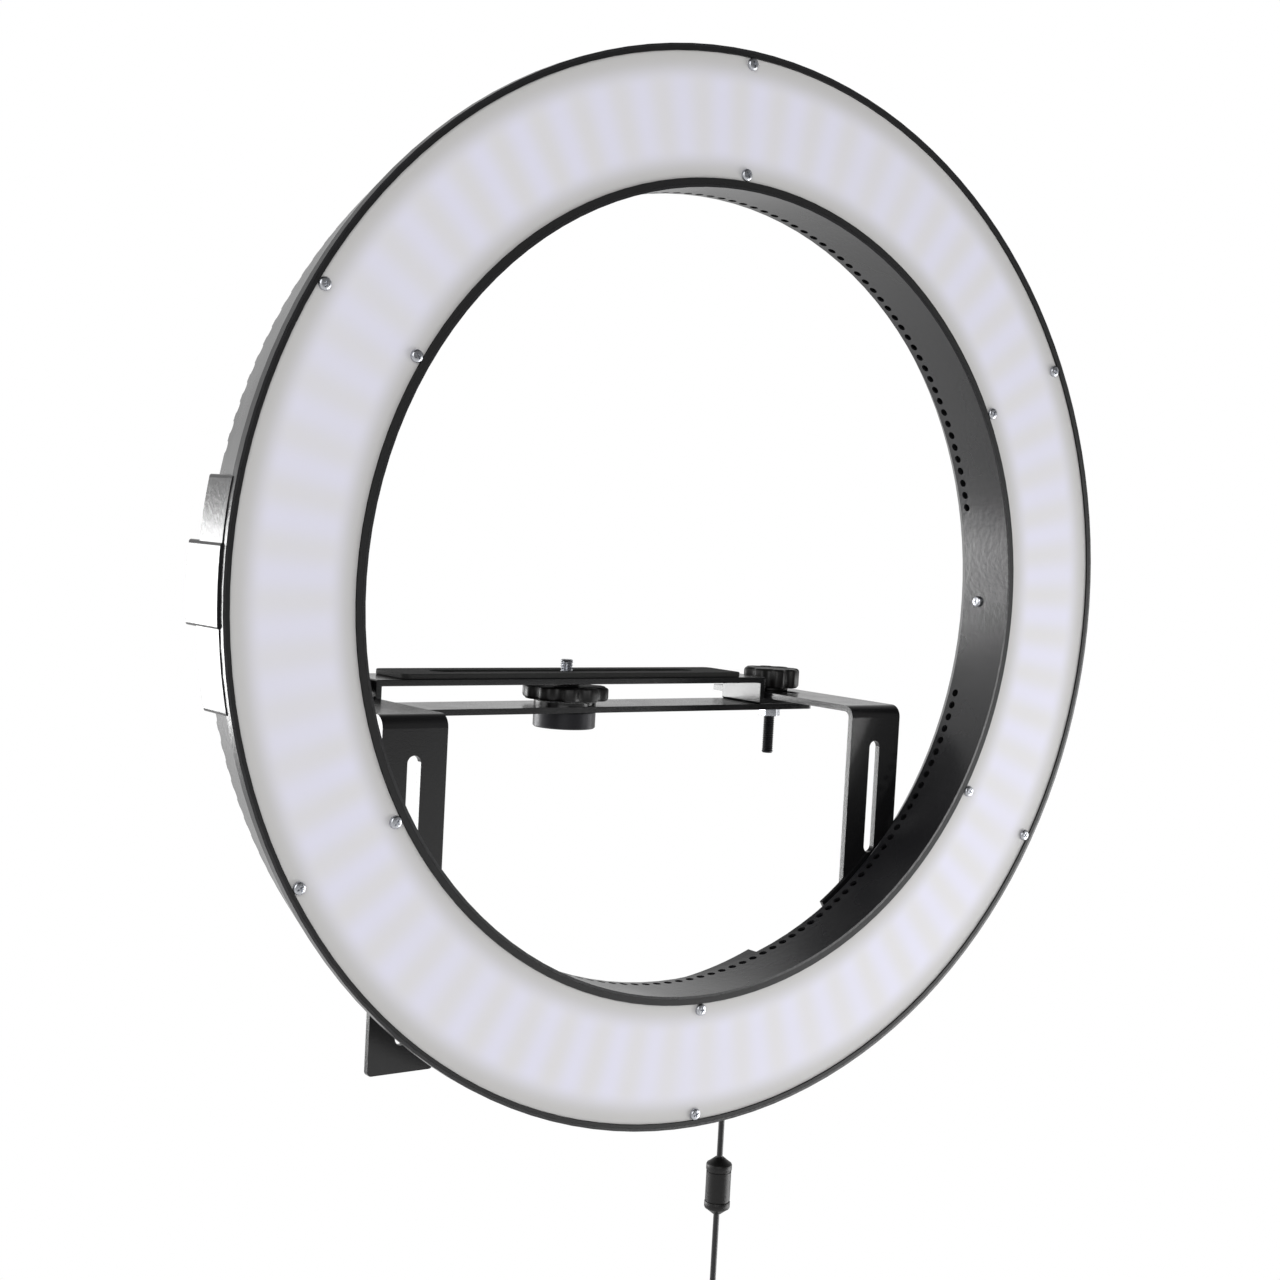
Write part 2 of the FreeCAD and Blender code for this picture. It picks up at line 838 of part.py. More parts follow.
def switch_rocker():
    """A rocker with two sloped faces; it rocks on a pin at each side of the slot."""
    half = rocker_length / 2
    tilt = math.radians(rocker_tilt_deg)
    low = rocker_axis_depth() - 3.0
    crown = rocker_axis_depth() + switch_bezel + rocker_lift
    edge = crown - half * math.tan(tilt) - 0.4
    outline = [(-half, low + 0.8), (-half, edge), (0, crown - rocker_lift * 0.35), (half, edge),
               (half, low + 0.8), (half * 0.55, low), (-half * 0.55, low)]
    points = [V(control_r - rocker_width / 2, front_y + depth, ring_z + along)
              for along, depth in outline]
    block = prism(points, V(rocker_width, 0, 0))
    turned_block = about_ring(block, box_angle(switch_angle))
    centre = ring_point(control_r, box_angle(switch_angle), rocker_axis_depth())
    across = ring_point(control_r + 1, box_angle(switch_angle), rocker_axis_depth()) - centre
    turned_block.rotate(centre, across, rocker_tilt_deg)
    pins = rocker_pin(rocker_pin_d / 2, rocker_width / 2 + hole_gap + rocker_pin_reach)
    return fused([turned_block, pins])


def potentiometer():
    angle = box_angle(knob_angle)
    inside = box_back - sheet
    body = rod(pot_d / 2, ring_point(control_r, angle, inside - pot_h),
               ring_point(control_r, angle, inside))
    bore = rod(dimmer_shaft_d / 2 + running_gap, ring_point(control_r, angle, inside - pot_h + 2),
               ring_point(control_r, angle, inside + 1))
    return body.cut(bore)


def dimmer_knob():
    """A fluted knob with its shaft, and a raised pointer line on the cap."""
    angle = box_angle(knob_angle)
    inside = box_back - sheet
    seat = box_back + hole_gap
    shaft = rod(dimmer_shaft_d / 2, ring_point(control_r, angle, inside - pot_h + 2.3),
                ring_point(control_r, angle, seat + 2))
    cap = cone(dimmer_knob_d / 2, dimmer_knob_d / 2 - 1.0, ring_point(control_r, angle, seat),
               ring_point(control_r, angle, seat + dimmer_knob_h))
    cuts = []
    flutes = 18
    for index in range(flutes):
        turn = 2 * math.pi * index / flutes
        shift = V(math.cos(turn), 0, math.sin(turn)) * (dimmer_knob_d / 2 + 0.35)
        cuts.append(rod(0.8, ring_point(control_r, angle, seat - 1) + shift,
                        ring_point(control_r, angle, seat + dimmer_knob_h - 2.2) + shift))
    top = ring_point(control_r, angle, seat + dimmer_knob_h)
    line = box(top.x - 0.6, top.x + 0.6, top.y - 0.5, top.y + 0.5, top.z + 1.5,
               top.z + dimmer_knob_d / 2 - 1.4)
    return fused([cap.cut(cuts), shaft, line])


def power_socket():
    angle = box_angle(socket_angle())
    flange = rod(jack_flange_d / 2, ring_point(control_r, angle, box_back),
                 ring_point(control_r, angle, box_back + jack_flange_h))
    barrel = rod(jack_d / 2, ring_point(control_r, angle, box_back - 10.5),
                 ring_point(control_r, angle, box_back))
    front = box_back + jack_flange_h
    bore = rod(jack_bore_d / 2, ring_point(control_r, angle, front - jack_depth),
               ring_point(control_r, angle, front + 1))
    pin = rod(jack_pin_d / 2, ring_point(control_r, angle, front - jack_depth - 0.5),
              ring_point(control_r, angle, front - 1))
    return fused([fused([flange, barrel]).cut(bore), pin])


def driver_board():
    low = housing_depth + driver_lift
    board = flat_sector(box_inner_r + 4, box_outer_r - 4, low, low + driver_thickness, -90,
                        box_half_deg - 2.5)
    feet = []
    for turn in (-15, -5, 9):
        feet.append(rod(2.0, ring_point(control_r, box_angle(turn), housing_depth),
                        ring_point(control_r, box_angle(turn), low)))
    hole = rod(lead_d * 1.3, ring_point(control_r, grommet_angle(), low - 1),
               ring_point(control_r, grommet_angle(), low + driver_thickness + 1))
    notch = rod(small_head_d / 2 + 1, ring_point(led_mid_r, -90, low - 1),
                ring_point(led_mid_r, -90, low + driver_thickness + 1))
    return fused([board] + feet).cut([hole, notch])


def driver_parts():
    """A coil, two capacitors and a power chip that stand on the driver board."""
    floor = housing_depth + driver_lift + driver_thickness
    coil = rod(4.0, ring_point(control_r, box_angle(-6.5), floor),
               ring_point(control_r, box_angle(-6.5), floor + 5.0))
    parts = [coil]
    for turn in (11.0, 13.5):
        parts.append(rod(2.5, ring_point(control_r - 6, box_angle(turn), floor),
                         ring_point(control_r - 6, box_angle(turn), floor + 6.0)))
    centre = ring_point(control_r + 5.5, box_angle(12.0), floor)
    parts.append(box(centre.x - 4, centre.x + 4, centre.y, centre.y + 2.0,
                     centre.z - 2.5, centre.z + 2.5))
    return group(parts)


def wire_grommet():
    angle = grommet_angle()
    hole = grommet_d / 2 - 1.0
    parts = [rod(grommet_d / 2, ring_point(control_r, angle, cover_inside - 1.0),
                 ring_point(control_r, angle, cover_inside)),
             rod(hole, ring_point(control_r, angle, cover_inside),
                 ring_point(control_r, angle, housing_depth)),
             rod(grommet_d / 2, ring_point(control_r, angle, housing_depth),
                 ring_point(control_r, angle, housing_depth + 1.0))]
    bore = rod(lead_d * 1.2, ring_point(control_r, angle, cover_inside - 2),
               ring_point(control_r, angle, housing_depth + 2))
    return fused(parts).cut(bore)


def led_leads():
    """Two wires from the driver board through the grommet to the LED boards."""
    leads = []
    top = housing_depth + driver_lift + driver_thickness
    for shift in (-0.56, 0.56):
        side = V(shift * lead_d, 0, 0)
        leads.append(rod(lead_d / 2, ring_point(control_r, grommet_angle(), carrier_depth) + side,
                         ring_point(control_r, grommet_angle(), top) + side))
    return group(leads)


# Bracket: bent strips, bars and the stand socket

def filleted_line(points, radii):
    """A closed outline through points, whose corners take the given radii."""
    edges = []
    count = len(points)
    starts = []
    ends = []
    arcs = []
    for index in range(count):
        here = points[index]
        before = points[index - 1]
        after = points[(index + 1) % count]
        radius = radii[index]
        if radius <= 0:
            starts.append(here)
            ends.append(here)
            arcs.append(None)
            continue
        in_dir = (before - here).normalize()
        out_dir = (after - here).normalize()
        half = in_dir.getAngle(out_dir) / 2
        back = radius / math.tan(half)
        first = here + in_dir * back
        last = here + out_dir * back
        middle_dir = (in_dir + out_dir).normalize()
        centre = here + middle_dir * (radius / math.sin(half))
        starts.append(first)
        ends.append(last)
        arcs.append(Part.Arc(first, centre - middle_dir * radius, last).toShape())
    for index in range(count):
        if arcs[index] is not None:
            edges.append(arcs[index])
        following = starts[(index + 1) % count]
        if (following - ends[index]).Length > 1e-6:
            edges.append(Part.makeLine(ends[index], following))
    return Part.Face(Part.Wire(edges))


def bent_strip(line, thickness, inner_r, start, across, place):
    """A strip that follows a line of (a, b) points and is as wide as the vector across."""
    other = offset_line(line, thickness)
    points = [place(a, b) + start for a, b in line + other[::-1]]
    radii = []
    for side in (line, other):
        side_radii = [0]
        for index in range(1, len(side) - 1):
            turn = ((side[index][0] - side[index - 1][0]) * (side[index + 1][1] - side[index][1])
                    - (side[index][1] - side[index - 1][1])
                    * (side[index + 1][0] - side[index][0]))
            inside = (turn > 0) == (side is other)
            side_radii.append(inner_r if inside else inner_r + thickness)
        side_radii.append(0)
        radii += side_radii if side is line else side_radii[::-1]
    return filleted_line(points, radii).extrude(across)


def right_leg():
    """The slotted leg against the ring, bent back at the top into a slotted flange."""
    line = [(leg_front_y, flange_top - leg_length), (leg_front_y, flange_top),
            (leg_front_y + flange_length, flange_top)]
    leg = bent_strip(line, -strip_thickness, bend_inner_r, V(leg_x - strip_width / 2, 0, 0),
                     V(strip_width, 0, 0), lambda a, b: V(0, a, b))
    slot_depth = V(0, 1, 0)
    top = flange_top - leg_slot_top
    low_top = top - leg_slot_length - leg_slot_web
    cuts = [slot_cut(V(leg_x, leg_front_y, top - leg_slot_length / 2), leg_slot_length,
                     leg_slot_width, V(0, 0, 1), slot_depth, 2 * strip_thickness),
            slot_cut(V(leg_x, leg_front_y, low_top - leg_low_slot_length / 2),
                     leg_low_slot_length, leg_slot_width, V(0, 0, 1), slot_depth,
                     2 * strip_thickness),
            slot_cut(V(leg_x, (flange_slot_back - flange_slot_front) / 2, flange_z),
                     flange_slot_back + flange_slot_front, leg_slot_width, V(0, 1, 0),
                     V(0, 0, 1), 2 * strip_thickness)]
    leg = leg.cut(cuts)
    corners = [edge for edge in leg.Edges
               if edge.Length < strip_thickness + 0.01 and
               (abs(edge.BoundBox.ZMax - (flange_top - leg_length)) < 0.01 or
                abs(edge.BoundBox.YMin - (leg_front_y + flange_length)) < 0.01)]
    return leg.makeFillet(corner_r, corners)


def platform_half():
    """Half the outer width of the platform's raised part."""
    return leg_x - strip_width / 2 - flange_side_gap


def camera_platform():
    half = platform_half()
    foot_end = leg_x + strip_width / 2
    line = [(-foot_end, foot_z + strip_thickness), (-half, foot_z + strip_thickness),
            (-half, platform_top), (half, platform_top), (half, foot_z + strip_thickness),
            (foot_end, foot_z + strip_thickness)]
    plate = bent_strip(line, -strip_thickness, platform_bend_r, V(0, -strip_width / 2, 0),
                       V(0, strip_width, 0), lambda a, b: V(a, 0, b))
    slot = slot_cut(V(0, 0, platform_z), 2 * camera_slot_travel + guide_length + 1,
                    camera_slot_width, V(1, 0, 0), V(0, 0, 1), 2 * strip_thickness)
    holes = [rod(stud_d / 2 + hole_gap, V(side * leg_x, 0, foot_z - 1),
                 V(side * leg_x, 0, flange_z + 1)) for side in (-1, 1)]
    return plate.cut([slot] + holes)


def platform_pad():
    pad = box(-pad_length / 2, pad_length / 2, -pad_width / 2, pad_width / 2,
              platform_top, pad_top)
    corners = [edge for edge in pad.Edges if abs(edge.Length - pad_thickness) < 0.01]
    pad = pad.makeFillet(corner_r * 2, corners)
    slot = slot_cut(V(0, 0, platform_top), 2 * camera_slot_travel + pad_slot_width + 4,
                    pad_slot_width, V(1, 0, 0), V(0, 0, 1), 2 * pad_thickness)
    return pad.cut(slot)


def socket_screw_places():
    places = []
    for angle in (90, 210, 330):
        turn = math.radians(angle)
        places.append(V(socket_screw_r * math.cos(turn), socket_screw_r * math.sin(turn), 0))
    return places


def crossbar():
    half = leg_x + strip_width / 2
    bar = box(-half, half, -strip_width / 2, strip_width / 2, crossbar_z, foot_z)
    corners = [edge for edge in bar.Edges if abs(edge.Length - strip_thickness) < 0.01]
    bar = bar.makeFillet(corner_r, corners)
    cuts = [rod(stud_d / 2 + hole_gap, V(side * leg_x, 0, crossbar_z - 1),
                V(side * leg_x, 0, foot_z + 1)) for side in (-1, 1)]
    cuts.append(rod(camera_thread_d / 2 + hole_gap, V(0, 0, crossbar_z - 1), V(0, 0, foot_z + 1)))
    cuts += [rod(small_screw_d / 2 + screw_clearance, spot + V(0, 0, crossbar_z - 1),
                 spot + V(0, 0, foot_z + 1)) for spot in socket_screw_places()]
    return bar.cut(cuts)


def stand_socket():
    body = Part.makeCylinder(socket_d / 2, socket_height)
    rims = [edge for edge in body.Edges if edge.Closed]
    body = body.makeChamfer(0.6, rims)
    cuts = [rod(camera_thread_d / 2, V(0, 0, -1), V(0, 0, socket_height + 1))]
    cuts += [rod(small_screw_d / 2 + running_gap, spot + V(0, 0, socket_height - 6),
                 spot + V(0, 0, socket_height + 1)) for spot in socket_screw_places()]
    return body.cut(cuts)


def socket_washer():
    """A washer plate over the crossbar, countersunk for the socket's screws."""
    top = foot_z + socket_washer_thickness
    plate = rod(socket_d / 2, V(0, 0, foot_z), V(0, 0, top))
    cuts = [rod(camera_thread_d / 2 + hole_gap, V(0, 0, foot_z - 1), V(0, 0, top + 1))]
    for spot in socket_screw_places():
        cuts.append(countersunk(spot + V(0, 0, top), 4, 0))
        cuts.append(rod(small_screw_d / 2 + screw_clearance, spot + V(0, 0, foot_z - 1),
                        spot + V(0, 0, top + 1)))
    return plate.cut(cuts)


def countersunk(top, reach, recess):
    """A countersunk screw, straight down from the point top."""
    head_h = 1.4
    head = cone(small_screw_d / 2, small_screw_d / 2 + head_h, top - V(0, 0, head_h), top)
    shank = rod(small_screw_d / 2, top - V(0, 0, reach), top - V(0, 0, head_h))
    screw = fused([head, shank])
    if recess:
        screw = screw.cut(hexagon(recess, top - V(0, 0, 0.9), top + V(0, 0, 1)))
    return screw


def socket_screws():
    top = foot_z + socket_washer_thickness
    return group([countersunk(spot + V(0, 0, top), socket_washer_thickness + strip_thickness + 5, 2)
                  for spot in socket_screw_places()])


def clamp_nuts():
    nuts = []
    for side in (-1, 1):
        low = V(side * leg_x, 0, crossbar_z - nut_height)
        high = V(side * leg_x, 0, crossbar_z)
        bore = rod(stud_d / 2 + running_gap, low - V(0, 0, 1), high + V(0, 0, 1))
        nuts.append(hexagon(nut_across_flats, low, high).cut(bore))
    return group(nuts)


# Lobed knobs and their studs

def lobed_knob(base, axis, diameter, height, lobes, hub_d, hub_h, bore_d):
    """A knob with round lobes; base is the middle of its seat and axis points outward."""
    side = axis.cross(V(1, 0, 0))
    if side.Length < 0.5:
        side = axis.cross(V(0, 0, 1))
    side.normalize()
    other = axis.cross(side)
    start = base + axis * hub_h
    radius = diameter / 2
    body = rod(radius, start, start + axis * height)
    notch = math.pi * diameter / lobes * 0.27
    cuts = []
    for index in range(lobes):
        turn = 2 * math.pi * index / lobes
        centre = (side * math.cos(turn) + other * math.sin(turn)) * (radius + notch * 0.28)
        cuts.append(rod(notch, start + centre - axis, start + centre + axis * (height + 1)))
    body = body.cut(cuts)
    hub = rod(hub_d / 2, base, start + axis * 0.5)
    knob = fused([body, hub])
    return knob.cut(rod(bore_d / 2, base - axis, base + axis * (height + hub_h - knob_cap)))


def stud(radius, start, end):
    """A round stud with both ends chamfered."""
    shaft = rod(radius, start, end)
    rims = [edge for edge in shaft.Edges if edge.Closed]
    return shaft.makeChamfer(0.6, rims)


def clamp_knob(side):
    base = V(side * leg_x, 0, flange_top)
    return lobed_knob(base, V(0, 0, 1), clamp_knob_d, clamp_knob_h, 8, clamp_knob_d * 0.6,
                      knob_base_h, stud_d)


def clamp_stud(side):
    top = flange_top + knob_base_h + clamp_knob_h - knob_cap
    return stud(stud_d / 2, V(side * leg_x, 0, crossbar_z - clamp_stud_tail),
                V(side * leg_x, 0, top))


def ring_knob(side):
    base = V(side * leg_x, leg_rear_y, ring_screw_z)
    return lobed_knob(base, V(0, 1, 0), ring_knob_d, ring_knob_h, 8, ring_knob_d * 0.6,
                      knob_base_h, stud_d)


def ring_stud(side):
    top = leg_rear_y + knob_base_h + ring_knob_h - knob_cap
    low = leg_front_y - leg_plate_thickness - sheet - nut_height - 1
    return stud(stud_d / 2, V(side * leg_x, low, ring_screw_z),
                V(side * leg_x, top, ring_screw_z))


# Captive camera screw that slides along the platform's slot

guide_z = platform_z - guide_flange_h
knob_seat_z = guide_z - running_gap
clip_z = platform_top + hole_gap


def camera_knob():
    return lobed_knob(V(0, 0, knob_seat_z), V(0, 0, -1), camera_knob_d, camera_knob_h,
                      camera_knob_lobes, camera_knob_hub_d, knob_hub_h, camera_shank_d)


def camera_screw():
    """A plain shank in the knob, a groove for the clip, and a thread above the pad."""
    low = knob_seat_z - knob_hub_h - camera_knob_h + knob_cap
    shoulder = clip_z + clip_thickness
    shank = rod(camera_shank_d / 2, V(0, 0, low), V(0, 0, clip_z))
    core = rod(clip_bore_d / 2, V(0, 0, clip_z - 1), V(0, 0, shoulder + 1))
    thread = stud(camera_thread_d / 2, V(0, 0, shoulder), V(0, 0, pad_top + camera_screw_above_pad))
    return fused([shank, core, thread])


def slot_guide():
    """A flanged washer whose two lugs keep it square in the platform's slot."""
    flange = rod(guide_flange_d / 2, V(0, 0, guide_z), V(0, 0, platform_z))
    lug_top = platform_top - hole_gap
    lugs = slot_cut(V(0, 0, platform_z), guide_length, camera_slot_width - 2 * running_gap,
                    V(1, 0, 0), V(0, 0, 1), strip_thickness)
    lugs = lugs.common(box(-guide_length, guide_length, -guide_length, guide_length,
                           platform_z, lug_top))
    cuts = [rod(camera_shank_d / 2 + running_gap, V(0, 0, guide_z - 1), V(0, 0, lug_top + 1)),
            box(-guide_lug_start, guide_lug_start, -guide_length, guide_length,
                platform_z, lug_top + 1)]
    return fused([flange, lugs]).cut(cuts)


def screw_clip():
    """An open ring in the screw's groove, which keeps the screw in the slot."""
    top = clip_z + clip_thickness
    clip = rod(clip_d / 2, V(0, 0, clip_z), V(0, 0, top))
    bore = rod(clip_bore_d / 2, V(0, 0, clip_z - 1), V(0, 0, top + 1))
    mouth = box(0, clip_d, -clip_bore_d * 0.4, clip_bore_d * 0.4, clip_z - 1, top + 1)
    return clip.cut([bore, mouth])


# Power lead: plug, straight drop, bead, hanging coil, tie and connector

cord_y = front_y + box_back + jack_flange_h + plug_cord_offset
plug_z = ring_z - control_r * math.cos(math.radians(socket_angle()))
cord_top_z = plug_z - plug_body_d / 2 - relief_length
drop_end_z = cord_top_z - cord_drop


def power_plug():
    """A right-angle plug; its barrel is in the socket and its relief points down."""
    seat = V(cord_x, front_y + box_back + jack_flange_h, plug_z)
    back = seat + V(0, plug_body_length, 0)
    body = rod(plug_body_d / 2, seat, back)
    rim = [edge for edge in body.Edges if edge.Closed and edge.Curve.Center.y > seat.y + 1]
    body = body.makeFillet(1.5, rim)
    elbow = V(cord_x, cord_y, plug_z)
    neck = rod(relief_d / 2, elbow, elbow - V(0, 0, plug_body_d / 2 + 2))
    relief = cone(relief_d / 2, cord_d / 2 + 0.7, elbow - V(0, 0, plug_body_d / 2 + 2),
                  V(cord_x, cord_y, cord_top_z))
    whole = fused([body, neck, relief])
    grooves = []
    for index in range(4):
        high = cord_top_z + 4 + 4.2 * index
        ring_cut = rod(relief_d, V(cord_x, cord_y, high), V(cord_x, cord_y, high + 1.4))
        core = rod(cord_d / 2 + 0.35, V(cord_x, cord_y, high - 1), V(cord_x, cord_y, high + 3))
        grooves.append(ring_cut.cut(core))
    whole = whole.cut(grooves)
    barrel = rod(jack_bore_d / 2 - 0.1, seat - V(0, jack_depth - 1.2, 0), seat)
    barrel = barrel.cut(rod(jack_pin_d / 2 + 0.15, seat - V(0, jack_depth, 0),
                            seat - V(0, 0.4, 0)))
    return fused([whole, barrel])


def power_cord():
    """The straight drop, which the bead keeps plumb."""
    return rod(cord_d / 2, V(cord_x, cord_y, drop_end_z), V(cord_x, cord_y, cord_top_z))


def ferrite_bead():
    high = cord_top_z - bead_top_drop
    low = high - bead_length
    top = V(cord_x, cord_y, high)
    bottom = V(cord_x, cord_y, low)
    rise = V(0, 0, bead_taper)
    body = fused([cone(cord_d / 2 + 1, bead_d / 2, top, top - rise),
                  rod(bead_d / 2, top - rise, bottom + rise),
                  cone(bead_d / 2, cord_d / 2 + 1, bottom + rise, bottom)])
    grooves = []
    for level in (high - bead_taper - 2.2, low + bead_taper + 1.4):
        band = rod(bead_d, V(cord_x, cord_y, level), V(cord_x, cord_y, level + 0.8))
        core = rod(bead_d / 2 - 0.5, V(cord_x, cord_y, level - 1), V(cord_x, cord_y, level + 2))
        grooves.append(band.cut(core))
    grooves.append(rod(cord_d / 2 + running_gap, bottom - V(0, 0, 1), top + V(0, 0, 1)))
    return body.cut(grooves)


coil_pitch = cord_d + coil_gap
coil_outer_r = coil_inner_r + coil_pitch * coil_turns_per_layer
coil_entry = math.degrees(math.acos(coil_bend_r / (coil_bend_r + coil_outer_r)))
bend_start_z = drop_end_z - cord_d
coil_z = (bend_start_z - coil_bend_r * math.sin(math.radians(coil_entry))
          - coil_outer_r * math.sin(math.radians(coil_entry)))


def coil_point(turns):
    """A point of the coil, counted in turns from where the cord joins its outermost turn."""
    layer = min(int(turns / coil_turns_per_layer), coil_layers - 1)
    share = turns - layer * coil_turns_per_layer
    if layer % 2 == 1:
        share = coil_turns_per_layer - share
    radius = coil_outer_r - coil_pitch * share
    level = layer
    for border in range(1, coil_layers):
        past = turns - border * coil_turns_per_layer
        if abs(past) <= 0.25:
            level = border - 0.5 + 2 * past
    angle = math.radians(180 - coil_entry + 360 * turns)
    return V(cord_x + radius * math.cos(angle), cord_y + coil_pitch * level,
             coil_z + radius * math.sin(angle))


def biarc(start, start_dir, end, end_dir):
    """Two arcs that join two points and are tangent to a direction at each."""
    chord = end - start
    both = start_dir + end_dir
    along = chord.dot(both)
    spread = 2 * (1 - start_dir.dot(end_dir))
    if spread < 1e-9:
        length = chord.dot(chord) / (4 * chord.dot(end_dir))
    else:
        length = (-along + math.sqrt(along * along + spread * chord.dot(chord))) / spread
    joint = (start + end + (start_dir - end_dir) * length) * 0.5
    return [tangent_arc(start, start_dir, joint, True),
            tangent_arc(end, end_dir * -1, joint, False)]


def tangent_arc(point, direction, other, forward):
    """The arc that leaves a point in a direction and reaches the other point."""
    first, last = (point, other) if forward else (other, point)
    span = other - point
    normal = span - direction * span.dot(direction)
    if normal.Length < 1e-6 * span.Length:
        return Part.makeLine(first, last)
    normal.normalize()
    radius = span.dot(span) / (2 * span.dot(normal))
    centre = point + normal * radius
    middle = centre + ((point + other) * 0.5 - centre).normalize() * radius
    return Part.Arc(first, middle, last).toShape()


def coil_stations():
    """Points along the coil a quarter turn apart, each with its direction."""
    turns_all = coil_layers * coil_turns_per_layer + coil_entry / 360
    count = round(turns_all * 4)
    stations = []
    for index in range(count + 1):
        turns = turns_all * index / count
        ahead = coil_point(turns + 0.001)
        behind = coil_point(turns - 0.001)
        stations.append((coil_point(turns), (ahead - behind).normalize()))
    entry = math.radians(180 - coil_entry)
    stations[0] = (stations[0][0], V(-math.sin(entry), 0, math.cos(entry)))
    stations[-1] = (stations[-1][0], V(0, 0, -1))
    return stations


def coil_path():
    """Edges of the cord from the end of its straight drop to the connector."""
    top = V(cord_x, cord_y, drop_end_z)
    bend_start = V(cord_x, cord_y, bend_start_z)
    edges = [Part.makeLine(top, bend_start)]
    turn = math.radians(coil_entry)
    centre = bend_start - V(coil_bend_r, 0, 0)
    middle = centre + V(math.cos(turn / 2), 0, -math.sin(turn / 2)) * coil_bend_r
    end = centre + V(math.cos(turn), 0, -math.sin(turn)) * coil_bend_r
    edges.append(Part.Arc(bend_start, middle, end).toShape())
    stations = coil_stations()
    stations[0] = (end, stations[0][1])
    for (start, start_dir), (stop, stop_dir) in zip(stations, stations[1:]):
        edges += biarc(start, start_dir, stop, stop_dir)
    tail = stations[-1][0]
    edges.append(Part.makeLine(tail, tail - V(0, 0, coil_tail)))
    return edges


def tube(edges, radius):
    """A round tube along tangent edges."""
    wire = Part.Wire(edges)
    start = edges[0].valueAt(edges[0].FirstParameter)
    direction = edges[0].tangentAt(edges[0].FirstParameter)
    section = Part.Wire(Part.makeCircle(radius, start, direction))
    return wire.makePipeShell([section], True, False)


def cord_coil():
    edges = coil_path()
    coil = tube(edges, cord_d / 2)
    length = sum(edge.Length for edge in edges)
    print("coil length", round(length, 1), "volume share",
          round(coil.Volume / (length * math.pi * cord_d ** 2 / 4), 4), "valid", coil.isValid())
    print("cord length from plug to connector", round(length + cord_drop, 1))
    print("coil radii", round(coil_inner_r, 1), "to", round(coil_outer_r, 1))
    print("least gap of the coil to itself", round(coil_self_gap(edges), 2))
    return coil


def coil_self_gap(edges):
    """Least gap between stretches of the coil that are not neighbours along it."""
    points = []
    for edge in edges:
        count = max(2, int(edge.Length / 1.5))
        points += edge.discretize(count + 1)[:-1]
    places = [0.0]
    for before, after in zip(points, points[1:]):
        places.append(places[-1] + (after - before).Length)
    least = 1e9
    for index, point in enumerate(points):
        for other in range(index + 1, len(points)):
            if places[other] - places[index] > 5 * cord_d:
                least = min(least, (points[other] - point).Length)
    return least - cord_d


def cord_tie():
    """A strap round all the turns, to one side of where the cord comes in."""
    low_r = coil_inner_r - cord_d / 2 - tie_gap - coil_pitch * 0.25
    high_r = coil_outer_r + cord_d / 2 + tie_gap
    near = cord_y - cord_d / 2 - tie_gap
    far = cord_y + coil_pitch * (coil_layers - 1) + cord_d / 2 + tie_gap
    band = tie_band_thickness
    half = tie_band_width / 2
    outer = box(cord_x - half, cord_x + half, near - band, far + band,
                coil_z + low_r - band, coil_z + high_r + band)
    edges = [edge for edge in outer.Edges if abs(edge.Length - tie_band_width) < 0.01]
    outer = outer.makeFillet(2.0, edges)
    inner = box(cord_x - half - 1, cord_x + half + 1, near, far, coil_z + low_r, coil_z + high_r)
    edges = [edge for edge in inner.Edges if abs(edge.Length - tie_band_width - 2) < 0.01]
    inner = inner.makeFillet(1.0, edges)
    tie = outer.cut(inner)
    tie.rotate(V(cord_x, 0, coil_z), V(0, 1, 0), tie_turn_deg)
    return tie


def lead_connector():
    """A barrel connector on the free end of the lead."""
    tail = coil_stations()[-1][0] - V(0, 0, coil_tail)
    down = V(0, 0, -1)
    relief_end = tail + down * 10
    body_end = relief_end + down * (connector_length - 10 - jack_depth)
    body = fused([cone(cord_d / 2 + 0.7, connector_d / 2 - 1, tail, relief_end),
                  rod(connector_d / 2, relief_end, body_end)])
    barrel = rod(jack_bore_d / 2, body_end, body_end + down * jack_depth)
    bore = rod(1.25, body_end + down * 1, body_end + down * (jack_depth + 1))
    return fused([body, barrel]).cut(bore)


# Write every node

